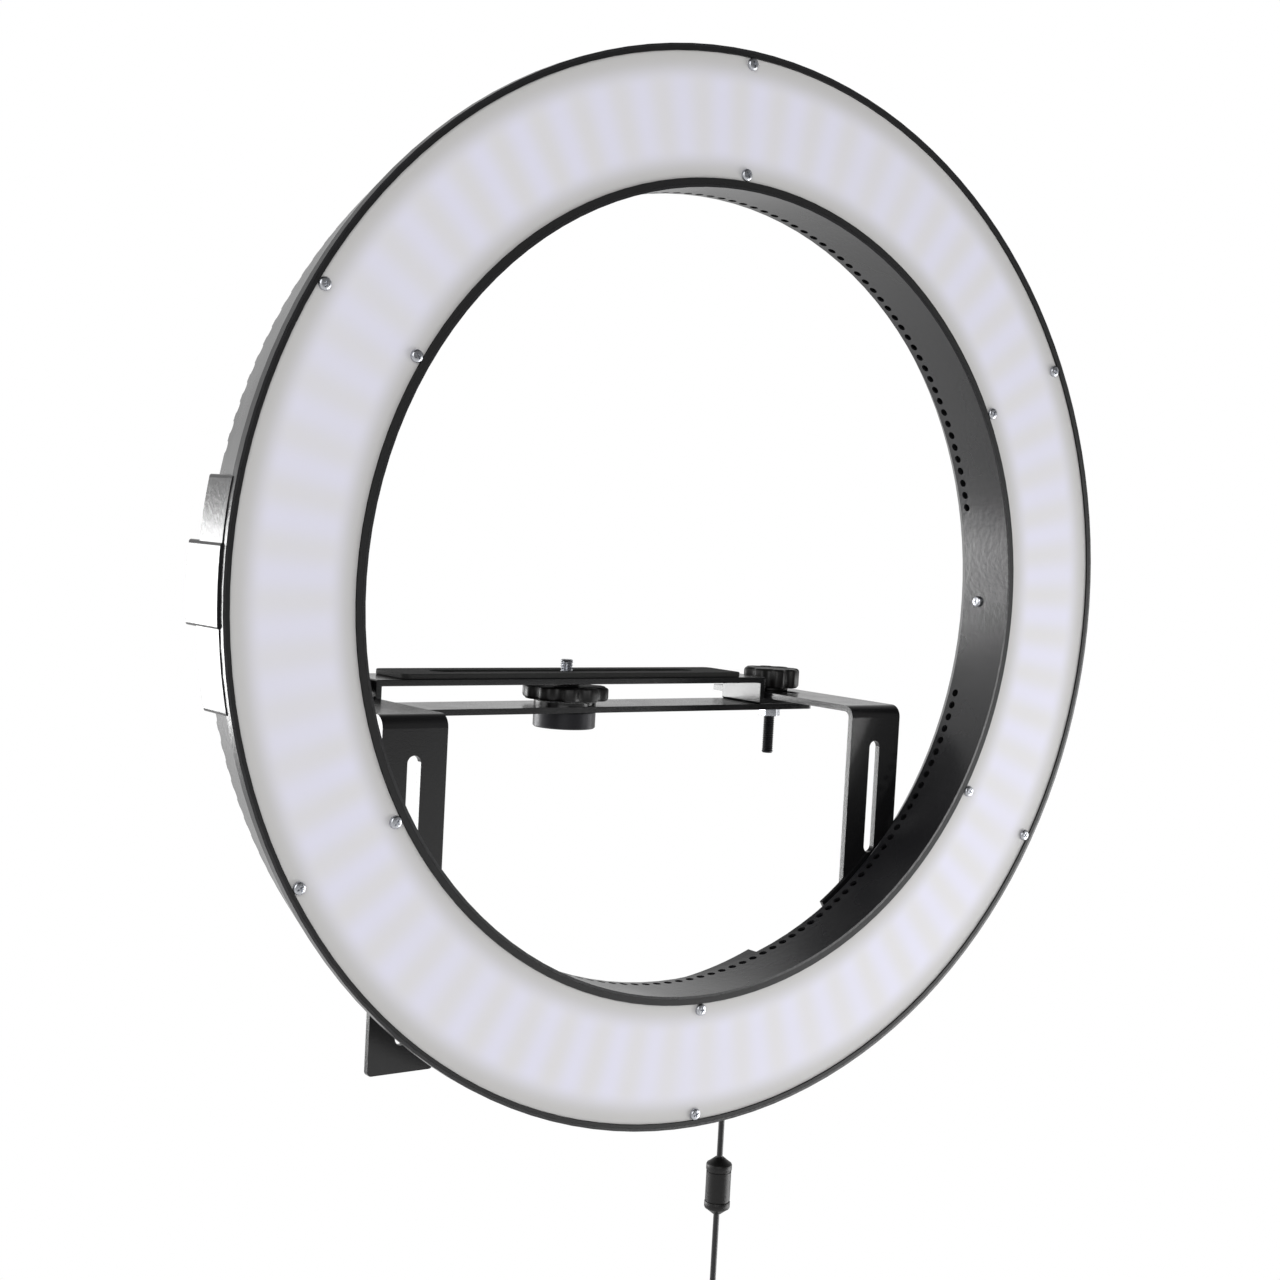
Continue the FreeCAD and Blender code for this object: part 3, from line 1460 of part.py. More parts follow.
bezel_outer = tapped(outer_bezel(), lambda radius: radius > led_mid_r)
bezel_inner = tapped(inner_bezel(), lambda radius: radius < led_mid_r)
nodes = {
    "rear_cover": rear_cover(),
    "outer_bezel": bezel_outer,
    "inner_bezel": bezel_inner,
    "diffuser": diffuser(),
    "diffuser_screws": diffuser_screws(),
    "led_carrier": led_carrier(),
    "led_boards": led_boards(),
    "led_packages": led_packages(),
    "board_screws": board_screws(),
    "carrier_posts": carrier_posts(),
    "carrier_screws": carrier_screws(),
    "rear_screws": rear_screws(),
    "side_block_right": side_block(),
    "side_block_left": mirrored(side_block()),
    "side_block_screws": side_block_screws(),
    "side_ties": side_ties(),
    "hole_wall_screws": hole_wall_screws(),
    "leg_plates": leg_plates(),
    "plate_rivets": plate_rivets(),
    "ring_nuts": ring_nuts(),
    "control_box": control_box(),
    "control_box_screws": control_box_screws(),
    "driver_board": driver_board(),
    "driver_parts": driver_parts(),
    "wire_grommet": wire_grommet(),
    "led_leads": led_leads(),
    "potentiometer": potentiometer(),
    "dimmer_knob": dimmer_knob(),
    "switch_body": switch_body(),
    "switch_rocker": switch_rocker(),
    "power_socket": power_socket(),
    "power_plug": power_plug(),
    "power_cord": power_cord(),
    "ferrite_bead": ferrite_bead(),
    "cord_coil": cord_coil(),
    "cord_tie": cord_tie(),
    "lead_connector": lead_connector(),
    "crossbar": crossbar(),
    "camera_platform": camera_platform(),
    "platform_pad": platform_pad(),
    "stand_socket": stand_socket(),
    "socket_washer": socket_washer(),
    "socket_screws": socket_screws(),
    "clamp_nuts": clamp_nuts(),
    "right_leg": right_leg(),
    "left_leg": mirrored(right_leg()),
    "right_clamp_knob": clamp_knob(1),
    "right_clamp_stud": clamp_stud(1),
    "left_clamp_knob": clamp_knob(-1),
    "left_clamp_stud": clamp_stud(-1),
    "right_ring_knob": ring_knob(1),
    "right_ring_stud": ring_stud(1),
    "left_ring_knob": ring_knob(-1),
    "left_ring_stud": ring_stud(-1),
    "camera_knob": camera_knob(),
    "camera_screw": camera_screw(),
    "slot_guide": slot_guide(),
    "screw_clip": screw_clip(),
}
for name, shape in nodes.items():
    save(name, shape)
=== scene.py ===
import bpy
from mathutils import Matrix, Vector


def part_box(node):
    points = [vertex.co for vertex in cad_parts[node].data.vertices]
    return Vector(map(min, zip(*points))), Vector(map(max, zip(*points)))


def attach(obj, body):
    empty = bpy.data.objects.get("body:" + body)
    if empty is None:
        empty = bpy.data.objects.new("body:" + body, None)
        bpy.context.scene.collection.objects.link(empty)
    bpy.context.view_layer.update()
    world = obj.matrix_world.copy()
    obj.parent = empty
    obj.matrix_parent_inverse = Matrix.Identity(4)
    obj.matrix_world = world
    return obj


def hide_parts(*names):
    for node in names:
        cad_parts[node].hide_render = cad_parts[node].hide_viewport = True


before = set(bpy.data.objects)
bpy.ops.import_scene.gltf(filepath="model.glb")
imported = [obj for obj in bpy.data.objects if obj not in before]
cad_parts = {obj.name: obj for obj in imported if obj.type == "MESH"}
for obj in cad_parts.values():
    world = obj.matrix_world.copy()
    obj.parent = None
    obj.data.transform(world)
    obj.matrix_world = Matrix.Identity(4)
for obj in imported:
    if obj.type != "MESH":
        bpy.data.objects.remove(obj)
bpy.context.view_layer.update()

import math

import bmesh
import bpy
from mathutils import Matrix, Vector

# Camera
# It stands to the left of the light, about a metre away, and looks slightly down across the
# ring. The lens and the place come from the photograph's own perspective.
camera_data = bpy.data.cameras.new("camera")
camera_data.sensor_width = 36
camera_data.lens = 57.03
camera_data.clip_start = 0.05
camera_data.clip_end = 40
camera = bpy.data.objects.new("camera", camera_data)
bpy.context.collection.objects.link(camera)
camera_right = Vector((0.808497, -0.586144, 0.052615))
camera_up = Vector((-0.005217, 0.082263, 0.996597))
camera_look = Vector((0.588478, 0.806020, -0.063451))
camera_spot = (-0.561638, -0.829586, 0.108671)
camera.matrix_world = Matrix.Translation(camera_spot) @ Matrix(
    (camera_right, camera_up, -camera_look)).transposed().to_4x4()
bpy.context.scene.camera = camera
bpy.context.scene.view_settings.view_transform = "Standard"

# Studio: floor, sky and lamps
# A white floor far below and a white sky, which glossy surfaces see darker overhead and in
# front of the ring. The lamps are large and soft: a key and a weaker one on the left, a fill
# low on the right, and one behind that gleams along the housing and the strips' edges.


def srgb(code):
    """A colour written as six hex digits, as linear RGBA."""
    channels = [int(code[at:at + 2], 16) / 255 for at in (0, 2, 4)]
    linear = [value / 12.92 if value <= 0.04045 else ((value + 0.055) / 1.055) ** 2.4
              for value in channels]
    return (*linear, 1.0)


def add(tree, kind, links=None, **settings):
    """One node with its settings; links gives each input a value or another node's output."""
    made = tree.nodes.new(kind)
    for name, value in settings.items():
        setattr(made, name, value)
    for name, value in (links or {}).items():
        if isinstance(value, bpy.types.NodeSocket):
            tree.links.new(value, made.inputs[name])
        else:
            made.inputs[name].default_value = value
    return made


def blank_material(name):
    made = bpy.data.materials.new(name)
    made.use_nodes = True
    made.node_tree.nodes.clear()
    return made, made.node_tree


world = bpy.data.worlds.new("studio_sky")
world.use_nodes = True
bpy.context.scene.world = world
sky = world.node_tree
sky.nodes.clear()
path = add(sky, "ShaderNodeLightPath")
seen = add(sky, "ShaderNodeMath", {0: path.outputs["Is Camera Ray"],
                                   1: path.outputs["Is Transmission Ray"]}, operation="MAXIMUM")
place = add(sky, "ShaderNodeTexCoord")
direction = add(sky, "ShaderNodeSeparateXYZ", {0: place.outputs["Generated"]})
glow = add(sky, "ShaderNodeMapRange", {"Value": direction.outputs["Z"], "From Min": 0.40,
                                       "From Max": 0.80, "To Min": 0.75, "To Max": 0.08})
behind = add(sky, "ShaderNodeMapRange", {"Value": direction.outputs["Y"], "From Min": -0.6,
                                         "From Max": 0.3, "To Min": 0.3, "To Max": 1.0})
mirror = add(sky, "ShaderNodeMath", {0: glow.outputs["Result"], 1: behind.outputs["Result"]},
             operation="MULTIPLY")
ambient = add(sky, "ShaderNodeMix", {"Factor": path.outputs["Is Glossy Ray"], "A": 0.41,
                                     "B": mirror.outputs[0]})
level = add(sky, "ShaderNodeMath", {0: seen.outputs[0], 1: ambient.outputs["Result"]},
            operation="MAXIMUM")
lit = add(sky, "ShaderNodeBackground", {"Color": (1, 1, 1, 1), "Strength": level.outputs[0]})
add(sky, "ShaderNodeOutputWorld", {"Surface": lit.outputs[0]})

floor_level = -1.15
floor_half = 9
floor_mesh = bpy.data.meshes.new("floor")
floor_mesh.from_pydata([(x * floor_half, y * floor_half, floor_level)
                        for x, y in ((-1, -1), (1, -1), (1, 1), (-1, 1))], [], [(0, 1, 2, 3)])
floor = bpy.data.objects.new("floor", floor_mesh)
bpy.context.collection.objects.link(floor)
floor_paper, tree = blank_material("white paper floor")
path = add(tree, "ShaderNodeLightPath")
paper = add(tree, "ShaderNodeBsdfDiffuse", {"Color": srgb("F4F4F4")})
white = add(tree, "ShaderNodeEmission", {"Color": (1, 1, 1, 1), "Strength": 1.0})
plain = add(tree, "ShaderNodeMath", {0: path.outputs["Is Glossy Ray"], 1: 0.6,
                                     2: path.outputs["Is Camera Ray"]}, operation="MULTIPLY_ADD")
both = add(tree, "ShaderNodeMixShader", {0: plain.outputs[0], 1: paper.outputs[0],
                                         2: white.outputs[0]})
add(tree, "ShaderNodeOutputMaterial", {"Surface": both.outputs[0]})
floor_mesh.materials.append(floor_paper)

for name, spot, aim, width, height, power in (
        ("key_lamp", (-1.3, -1.5, 0.8), (0, 0, 0.05), 1.4, 1.4, 18),
        ("side_lamp", (-1.9, 0.7, 0.5), (-0.2, -0.1, 0.1), 1.3, 1.3, 10),
        ("fill_lamp", (1.7, -0.75, -0.75), (0, 0, 0.05), 1.6, 1.6, 38),
        ("back_lamp", (-1.1, 2.15, -0.2), (-0.2, -0.1, 0.05), 1.2, 0.9, 38)):
    lamp_data = bpy.data.lights.new(name, "AREA")
    lamp_data.shape = "RECTANGLE"
    lamp_data.size = width
    lamp_data.size_y = height
    lamp_data.energy = power
    lamp = bpy.data.objects.new(name, lamp_data)
    bpy.context.collection.objects.link(lamp)
    lamp.location = spot
    lamp.rotation_euler = (Vector(aim) - Vector(spot)).to_track_quat("-Z", "Y").to_euler()

# Power lead
# Soft black PVC cable, 3 mm thick and 1.5 m long, which drops straight from the plug. Its
# unseen length is wound in a neat tied coil under the picture and ends in a connector.
MM = 0.001


def dressed(node, material):
    """Give a CAD node its material."""
    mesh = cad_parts[node].data
    mesh.materials.clear()
    mesh.materials.append(material)


pvc, tree = blank_material("soft PVC, extruded and moulded")
# Extruded PVC is smooth with a faint matt bloom and very shallow waves along it.
place = add(tree, "ShaderNodeTexCoord")
waves = add(tree, "ShaderNodeTexNoise", {"Vector": place.outputs["Object"], "Scale": 420.0,
                                         "Detail": 3.0})
bloom = add(tree, "ShaderNodeMapRange", {"Value": waves.outputs["Fac"], "To Min": 0.38,
                                         "To Max": 0.56})
bump = add(tree, "ShaderNodeBump", {"Height": waves.outputs["Fac"], "Strength": 0.12,
                                    "Distance": 0.0004})
shader = add(tree, "ShaderNodeBsdfPrincipled", {
    "Base Color": srgb("111113"), "Roughness": bloom.outputs["Result"], "IOR": 1.53,
    "Normal": bump.outputs["Normal"]})
add(tree, "ShaderNodeOutputMaterial", {"Surface": shader.outputs["BSDF"]})

lead_d = 3.0
lead_x = 62.4
lead_y = -64.5
lead_top = -148.07
drop_end = -283.07
bend_r = 15.0
coil_inner_r = 12.2
coil_pitch = 3.5
coil_layers = 4
turns_per_layer = 3
half_climb = 0.25
coil_tail = 24.0
coil_outer_r = coil_inner_r + coil_pitch * turns_per_layer
coil_entry = math.acos(bend_r / (bend_r + coil_outer_r))
coil_z = drop_end - (bend_r + coil_outer_r) * math.sin(coil_entry)
coil_turns = coil_layers * turns_per_layer + coil_entry / (2 * math.pi)
coil_points = 195
corner_drop = bend_r * math.tan(coil_entry / 2)
route = [(lead_x, lead_y, lead_top), (lead_x, lead_y, drop_end + corner_drop),
         (lead_x, lead_y, drop_end - corner_drop)]
# The curve touches the middle of each chord between its points, so they stand a little wider.
widen = 1 / math.cos(math.pi * coil_turns / coil_points)
for index in range(coil_points + 1):
    turns = coil_turns * (index + 0.5) / coil_points
    layer = min(int(turns / turns_per_layer), coil_layers - 1)
    share = turns - layer * turns_per_layer
    if layer % 2 == 1:
        share = turns_per_layer - share
    layers_back = layer
    for border in range(1, coil_layers):
        past = turns - border * turns_per_layer
        if abs(past) <= half_climb:
            layers_back = border - 0.5 + past / (2 * half_climb)
    radius = (coil_outer_r - coil_pitch * share) * widen
    angle = math.pi - coil_entry + 2 * math.pi * turns
    route.append((lead_x + radius * math.cos(angle), lead_y + coil_pitch * layers_back,
                  coil_z + radius * math.sin(angle)))
tail_x = route[-1][0]
tail_y = route[-1][1]
route.append((tail_x, tail_y, coil_z - coil_tail))
lead_curve = bpy.data.curves.new("power_lead", "CURVE")
lead_curve.dimensions = "3D"
lead_curve.bevel_depth = lead_d / 2 * MM
lead_curve.bevel_resolution = 4
lead_curve.resolution_u = 5
lead_curve.use_fill_caps = True
spline = lead_curve.splines.new("NURBS")
spline.points.add(len(route) - 1)
for point, place_mm in zip(spline.points, route):
    point.co = (*[value * MM for value in place_mm], 1.0)
spline.order_u = 3
spline.use_endpoint_u = True
lead_curve.materials.append(pvc)
power_lead = bpy.data.objects.new("power_lead", lead_curve)
bpy.context.collection.objects.link(power_lead)
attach(power_lead, "ring")
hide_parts("power_cord", "cord_coil")
for node in ("power_plug", "lead_connector"):
    dressed(node, pvc)

# Bead and tie
# The bead is a nylon clamshell moulded round a ferrite core, with stepped, tapered ends.
# The tie is a soft rubber strap. Both are on the lead.
nylon, tree = blank_material("moulded nylon, black")
# Moulded nylon has a fine spark texture of about a third of a millimetre and a soft sheen.
place = add(tree, "ShaderNodeTexCoord")
grain = add(tree, "ShaderNodeTexNoise", {"Vector": place.outputs["Object"], "Scale": 2600.0,
                                         "Detail": 2.0})
patch = add(tree, "ShaderNodeTexNoise", {"Vector": place.outputs["Object"], "Scale": 90.0,
                                         "Detail": 3.0})
sheen = add(tree, "ShaderNodeMapRange", {"Value": patch.outputs["Fac"], "To Min": 0.34,
                                         "To Max": 0.52})
bump = add(tree, "ShaderNodeBump", {"Height": grain.outputs["Fac"], "Strength": 0.22,
                                    "Distance": 0.0003})
shader = add(tree, "ShaderNodeBsdfPrincipled", {
    "Base Color": srgb("0C0B0B"), "Roughness": sheen.outputs["Result"], "IOR": 1.42,
    "Normal": bump.outputs["Normal"]})
add(tree, "ShaderNodeOutputMaterial", {"Surface": shader.outputs["BSDF"]})

bead_top = -208.07
bead_length = 28.3
bead_r = 6.4
bead_bore_r = 1.56
SMOOTH_DEG = 38


def piece(name, mesh, body, material, stands_for=()):
    """Make a mesh a piece that rides on a body and takes a finish."""
    mesh.name = name
    if not mesh.materials:
        mesh.materials.append(material)
    if not mesh.has_custom_normals:
        mesh.polygons.foreach_set("use_smooth", [True] * len(mesh.polygons))
        mesh.set_sharp_from_angle(angle=math.radians(SMOOTH_DEG))
    made = bpy.data.objects.new(name, mesh)
    bpy.context.collection.objects.link(made)
    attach(made, body)
    if stands_for:
        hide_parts(*stands_for)
    return made


def turned_mesh(profile, origin, axis, steps=40):
    """A closed lathe shape: (radius, height) points in mm about an axis through a point."""
    mesh = bpy.data.meshes.new("turned")
    axis = Vector(axis).normalized()
    side = axis.orthogonal().normalized()
    other = axis.cross(side)
    points = []
    faces = []
    rings = []
    for radius, rise in profile:
        if radius <= 1e-6:
            rings.append([len(points)])
            points.append(Vector(origin) + axis * rise)
            continue
        rings.append(list(range(len(points), len(points) + steps)))
        for step in range(steps):
            turn = 2 * math.pi * step / steps
            points.append(Vector(origin) + axis * rise + radius * (
                side * math.cos(turn) + other * math.sin(turn)))
    closed = len(rings[0]) > 1 and len(rings[-1]) > 1
    pairs = list(zip(rings, rings[1:])) + ([(rings[-1], rings[0])] if closed else [])
    for low, high in pairs:
        for step in range(steps):
            after = (step + 1) % steps
            corners = [low[step % len(low)], low[after % len(low)],
                       high[after % len(high)], high[step % len(high)]]
            faces.append(list(dict.fromkeys(corners)))
    mesh.from_pydata([point * MM for point in points], [], faces)
    shell = bmesh.new()
    shell.from_mesh(mesh)
    bmesh.ops.recalc_face_normals(shell, faces=shell.faces)
    shell.to_mesh(mesh)
    shell.free()
    return mesh


groove_r = bead_r - 0.55
barrel_r = bead_r - 0.2
rim_r = bead_r - 0.15
bead_profile = [(bead_bore_r, 0), (2.3, 0), (2.9, 0.5), (5.2, 2.3), (6.1, 2.9), (bead_r, 3.6),
                (bead_r, 6.0), (rim_r, 6.2), (groove_r, 6.3), (groove_r, 6.9),
                (barrel_r, 7.0), (barrel_r, 21.2), (groove_r, 21.3),
                (groove_r, 21.9), (rim_r, 22.0), (bead_r, 22.2), (bead_r, 24.7),
                (6.1, 25.4), (5.2, 26.0), (2.9, 27.8), (2.3, bead_length),
                (bead_bore_r, bead_length)]
bead = piece("bead", turned_mesh(bead_profile, (lead_x, lead_y, bead_top), (0, 0, -1)), "ring",
             nylon, ["ferrite_bead"])

rubber, tree = blank_material("matt moulded rubber")
# Filled rubber scatters light broadly; dust and handling leave slightly paler clouds.
place = add(tree, "ShaderNodeTexCoord")
cloud = add(tree, "ShaderNodeTexNoise", {"Vector": place.outputs["Object"], "Scale": 60.0,
                                         "Detail": 4.0})
tone = add(tree, "ShaderNodeMix", {"Factor": cloud.outputs["Fac"]}, data_type="RGBA")
tone.inputs["A"].default_value = srgb("141414")
tone.inputs["B"].default_value = srgb("222221")
dimple = add(tree, "ShaderNodeTexVoronoi", {"Vector": place.outputs["Object"], "Scale": 900.0})
bump = add(tree, "ShaderNodeBump", {"Height": dimple.outputs["Distance"], "Strength": 0.25,
                                    "Distance": 0.0005})
shader = add(tree, "ShaderNodeBsdfPrincipled", {
    "Base Color": tone.outputs["Result"], "Roughness": 0.82, "IOR": 1.52,
    "Normal": bump.outputs["Normal"]})
add(tree, "ShaderNodeOutputMaterial", {"Surface": shader.outputs["BSDF"]})
dressed("cord_tie", rubber)

# Diffuser
# One ring of opal acrylic sheet, 3 mm thick, cut with a laser and held by twelve screws.
# The rows of LEDs behind it show through as soft radial bands, cooler over each row.
ring_centre_z = 72.0
band_count = 64
band_phase_deg = 4.2
middle_r = 209.75
band_core = 12.0
band_reach = 23.0
edge_starts = 12.5
edge_ends = 26.5

opal, tree = blank_material("opal acrylic sheet")
# Opal acrylic is milky, with a smooth satin face. It is bluer over the rows of LEDs, which are
# about 20 mm apart, and a little darker towards its two edges, where the rows end.
place = add(tree, "ShaderNodeTexCoord")
centred = add(tree, "ShaderNodeMapping", {"Vector": place.outputs["Object"],
                                          "Location": (0, 0, -ring_centre_z * MM)})
parts = add(tree, "ShaderNodeSeparateXYZ", {0: centred.outputs["Vector"]})
turn = add(tree, "ShaderNodeMath", {0: parts.outputs["Z"], 1: parts.outputs["X"]},
           operation="ARCTAN2")
count = add(tree, "ShaderNodeMath", {0: turn.outputs[0], 1: band_count}, operation="MULTIPLY")
shift = add(tree, "ShaderNodeMath", {
    0: count.outputs[0], 1: math.radians(band_phase_deg) * band_count}, operation="SUBTRACT")
wave = add(tree, "ShaderNodeMath", {0: shift.outputs[0]}, operation="COSINE")
flat = add(tree, "ShaderNodeCombineXYZ", {"X": parts.outputs["X"], "Z": parts.outputs["Z"]})
reach = add(tree, "ShaderNodeVectorMath", {0: flat.outputs["Vector"]}, operation="LENGTH")
off_middle = add(tree, "ShaderNodeMath", {0: reach.outputs["Value"], 1: middle_r * MM},
                 operation="SUBTRACT")
apart = add(tree, "ShaderNodeMath", {0: off_middle.outputs[0]}, operation="ABSOLUTE")
inside = add(tree, "ShaderNodeMapRange", {
    "Value": apart.outputs[0], "From Min": band_core * MM, "From Max": band_reach * MM,
    "To Min": 0.5, "To Max": 0.0}, interpolation_type="SMOOTHSTEP")
uneven = add(tree, "ShaderNodeTexNoise", {"Vector": place.outputs["Object"], "Scale": 14.0,
                                          "Detail": 2.0})
vary = add(tree, "ShaderNodeMapRange", {"Value": uneven.outputs["Fac"], "From Min": 0.3,
                                        "From Max": 0.7, "To Min": 0.55, "To Max": 1.1})
strength = add(tree, "ShaderNodeMath", {0: inside.outputs["Result"], 1: vary.outputs["Result"]},
               operation="MULTIPLY")
band = add(tree, "ShaderNodeMath", {0: wave.outputs[0], 1: strength.outputs[0], 2: 0.5},
           operation="MULTIPLY_ADD")
face = add(tree, "ShaderNodeMix", {"Factor": band.outputs[0]}, data_type="RGBA")
face.inputs["A"].default_value = srgb("DAD9DC")
face.inputs["B"].default_value = srgb("DEDDEC")
edge = add(tree, "ShaderNodeMapRange", {
    "Value": apart.outputs[0], "From Min": edge_starts * MM, "From Max": edge_ends * MM},
    interpolation_type="SMOOTHERSTEP")
opal_tone = add(tree, "ShaderNodeMix", {"Factor": edge.outputs["Result"],
                                        "A": face.outputs["Result"]}, data_type="RGBA")
opal_tone.inputs["B"].default_value = srgb("BFBEBD")
shader = add(tree, "ShaderNodeBsdfPrincipled", {
    "Base Color": opal_tone.outputs["Result"], "Roughness": 0.45, "IOR": 1.49})
add(tree, "ShaderNodeOutputMaterial", {"Surface": shader.outputs["BSDF"]})
dressed("diffuser", opal)

# Bezels
# Two narrow rings of moulded black ABS that hold the diffuser's edges and finish the front
# of the housing.
abs_black, tree = blank_material("moulded ABS, satin black")
# ABS shows a soft highlight with a very fine mould texture.
place = add(tree, "ShaderNodeTexCoord")
grain = add(tree, "ShaderNodeTexNoise", {"Vector": place.outputs["Object"], "Scale": 1400.0,
                                         "Detail": 2.0})
bump = add(tree, "ShaderNodeBump", {"Height": grain.outputs["Fac"], "Strength": 0.12,
                                    "Distance": 0.0003})
shader = add(tree, "ShaderNodeBsdfPrincipled", {
    "Base Color": srgb("0F0F10"), "Roughness": 0.46, "IOR": 1.38,
    "Normal": bump.outputs["Normal"]})
add(tree, "ShaderNodeOutputMaterial", {"Surface": shader.outputs["BSDF"]})


def softened(node, material, width, body):
    """A copy of a CAD node with its sharp edges rounded, which stands for the node."""
    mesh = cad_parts[node].data.copy()
    mesh.materials.clear()
    mesh.materials.append(material)
    shell = bmesh.new()
    shell.from_mesh(mesh)
    bmesh.ops.remove_doubles(shell, verts=shell.verts, dist=1e-6)
    bmesh.ops.dissolve_limit(shell, angle_limit=math.radians(0.5), verts=shell.verts,
                             edges=shell.edges)
    shell.to_mesh(mesh)
    shell.free()
    mesh.polygons.foreach_set("use_smooth", [True] * len(mesh.polygons))
    rough = bpy.data.objects.new("rough", mesh)
    bpy.context.collection.objects.link(rough)
    rounding = rough.modifiers.new("rounding", "BEVEL")
    rounding.width = width * MM
    rounding.segments = 2
    rounding.limit_method = "ANGLE"
    rounding.angle_limit = math.radians(30)
    rounding.use_clamp_overlap = True
    rough.modifiers.new("flat_faces_stay_flat", "WEIGHTED_NORMAL")
    view_layer = bpy.context.evaluated_depsgraph_get()
    made = bpy.data.meshes.new_from_object(rough.evaluated_get(view_layer))
    bpy.data.objects.remove(rough)
    return piece(node + "_finished", made, body, material, [node])


for node in ("outer_bezel", "inner_bezel"):
    dressed(node, abs_black)

# Rear cover, side blocks and control box
# Pressed sheet steel, 1.2 mm thick, with vents punched at the back corner and in the hole's
# wall. It is sprayed with satin black enamel, as are the side blocks and the folded box.
enamel, tree = blank_material("satin black enamel on steel")
# Sprayed enamel has a satin gloss and an orange peel of a few millimetres' wavelength.
place = add(tree, "ShaderNodeTexCoord")
peel = add(tree, "ShaderNodeTexNoise", {"Vector": place.outputs["Object"], "Scale": 420.0,
                                        "Detail": 2.0, "Roughness": 0.45})
cloud = add(tree, "ShaderNodeTexNoise", {"Vector": place.outputs["Object"], "Scale": 18.0,
                                         "Detail": 4.0})
gloss = add(tree, "ShaderNodeMapRange", {"Value": cloud.outputs["Fac"], "From Min": 0.3,
                                         "From Max": 0.7, "To Min": 0.22, "To Max": 0.30})
bump = add(tree, "ShaderNodeBump", {"Height": peel.outputs["Fac"], "Strength": 0.10,
                                    "Distance": 0.0006})
shader = add(tree, "ShaderNodeBsdfPrincipled", {
    "Base Color": srgb("19191B"), "Roughness": gloss.outputs["Result"], "IOR": 1.56,
    "Normal": bump.outputs["Normal"]})
add(tree, "ShaderNodeOutputMaterial", {"Surface": shader.outputs["BSDF"]})
dressed("rear_cover", enamel)
for node in ("side_block_left", "side_block_right"):
    softened(node, enamel, 0.4, "ring")
softened("control_box", enamel, 0.3, "ring")

# Bracket strips
# Two slotted legs, a crossbar and a raised platform, cut and bent from 3 mm steel strip and
# powder coated black. The coat rounds their sheared edges, which catch the light.
powder, tree = blank_material("black powder coat on steel")
# Powder coat is a fine pebble of about half a millimetre. It mirrors the sky softly where it
# is seen along its face, and looks black where it is faced.
place = add(tree, "ShaderNodeTexCoord")
pebble = add(tree, "ShaderNodeTexNoise", {"Vector": place.outputs["Object"], "Scale": 1900.0,
                                          "Detail": 3.0, "Roughness": 0.6})
cloud = add(tree, "ShaderNodeTexNoise", {"Vector": place.outputs["Object"], "Scale": 35.0,
                                         "Detail": 4.0})
dull = add(tree, "ShaderNodeMapRange", {"Value": cloud.outputs["Fac"], "From Min": 0.3,
                                        "From Max": 0.7, "To Min": 0.14, "To Max": 0.22})
bump = add(tree, "ShaderNodeBump", {"Height": pebble.outputs["Fac"], "Strength": 0.12,
                                    "Distance": 0.0003})
shader = add(tree, "ShaderNodeBsdfPrincipled", {
    "Base Color": srgb("161617"), "Roughness": dull.outputs["Result"], "IOR": 1.55,
    "Normal": bump.outputs["Normal"]})
add(tree, "ShaderNodeOutputMaterial", {"Surface": shader.outputs["BSDF"]})
for node, body in (("left_leg", "legs"), ("right_leg", "legs"), ("crossbar", "support"),
                   ("camera_platform", "support"), ("leg_plates", "ring")):
    softened(node, powder, 0.45, body)
dressed("socket_washer", powder)

# Pad on the platform
# A strip of matt rubber, glued on, that grips what is screwed down on the platform. The
# grommet of the feed wires is of the same rubber.
softened("platform_pad", rubber, 0.4, "support")
dressed("wire_grommet", rubber)

# Plated steel: studs, nuts, rivets, ties, clip
# Small turned and stamped steel pieces, plated with bright zinc. Rolled threads stand out as
# fine rings. The clamp studs, the stand socket and the slot guide are blackened instead.
zinc, tree = blank_material("bright zinc plate on steel")
# Zinc plate is bluish bright, softened by fine scratches and handling.
place = add(tree, "ShaderNodeTexCoord")
scratch = add(tree, "ShaderNodeTexNoise", {"Vector": place.outputs["Object"], "Scale": 800.0,
                                           "Detail": 4.0})
haze = add(tree, "ShaderNodeMapRange", {"Value": scratch.outputs["Fac"], "From Min": 0.3,
                                        "From Max": 0.7, "To Min": 0.20, "To Max": 0.36})
bump = add(tree, "ShaderNodeBump", {"Height": scratch.outputs["Fac"], "Strength": 0.05,
                                    "Distance": 0.0002})
shader = add(tree, "ShaderNodeBsdfPrincipled", {
    "Base Color": srgb("B9BBC0"), "Metallic": 1.0, "Roughness": haze.outputs["Result"],
    "Normal": bump.outputs["Normal"]})
add(tree, "ShaderNodeOutputMaterial", {"Surface": shader.outputs["BSDF"]})
for node in ("board_screws", "carrier_screws", "side_block_screws", "side_ties",
             "plate_rivets", "potentiometer", "socket_screws", "screw_clip", "ring_nuts"):
    dressed(node, zinc)
softened("clamp_nuts", zinc, 0.35, "support")

blackened, tree = blank_material("blackened steel")
# A chemical black finish keeps the metal's sheen under a thin dark oxide.
place = add(tree, "ShaderNodeTexCoord")
scratch = add(tree, "ShaderNodeTexNoise", {"Vector": place.outputs["Object"], "Scale": 500.0,
                                           "Detail": 4.0})
haze = add(tree, "ShaderNodeMapRange", {"Value": scratch.outputs["Fac"], "To Min": 0.3,
                                        "To Max": 0.5})
shader = add(tree, "ShaderNodeBsdfPrincipled", {
    "Base Color": srgb("232326"), "Metallic": 0.6, "Roughness": haze.outputs["Result"]})
add(tree, "ShaderNodeOutputMaterial", {"Surface": shader.outputs["BSDF"]})
dressed("stand_socket", blackened)
dressed("slot_guide", blackened)


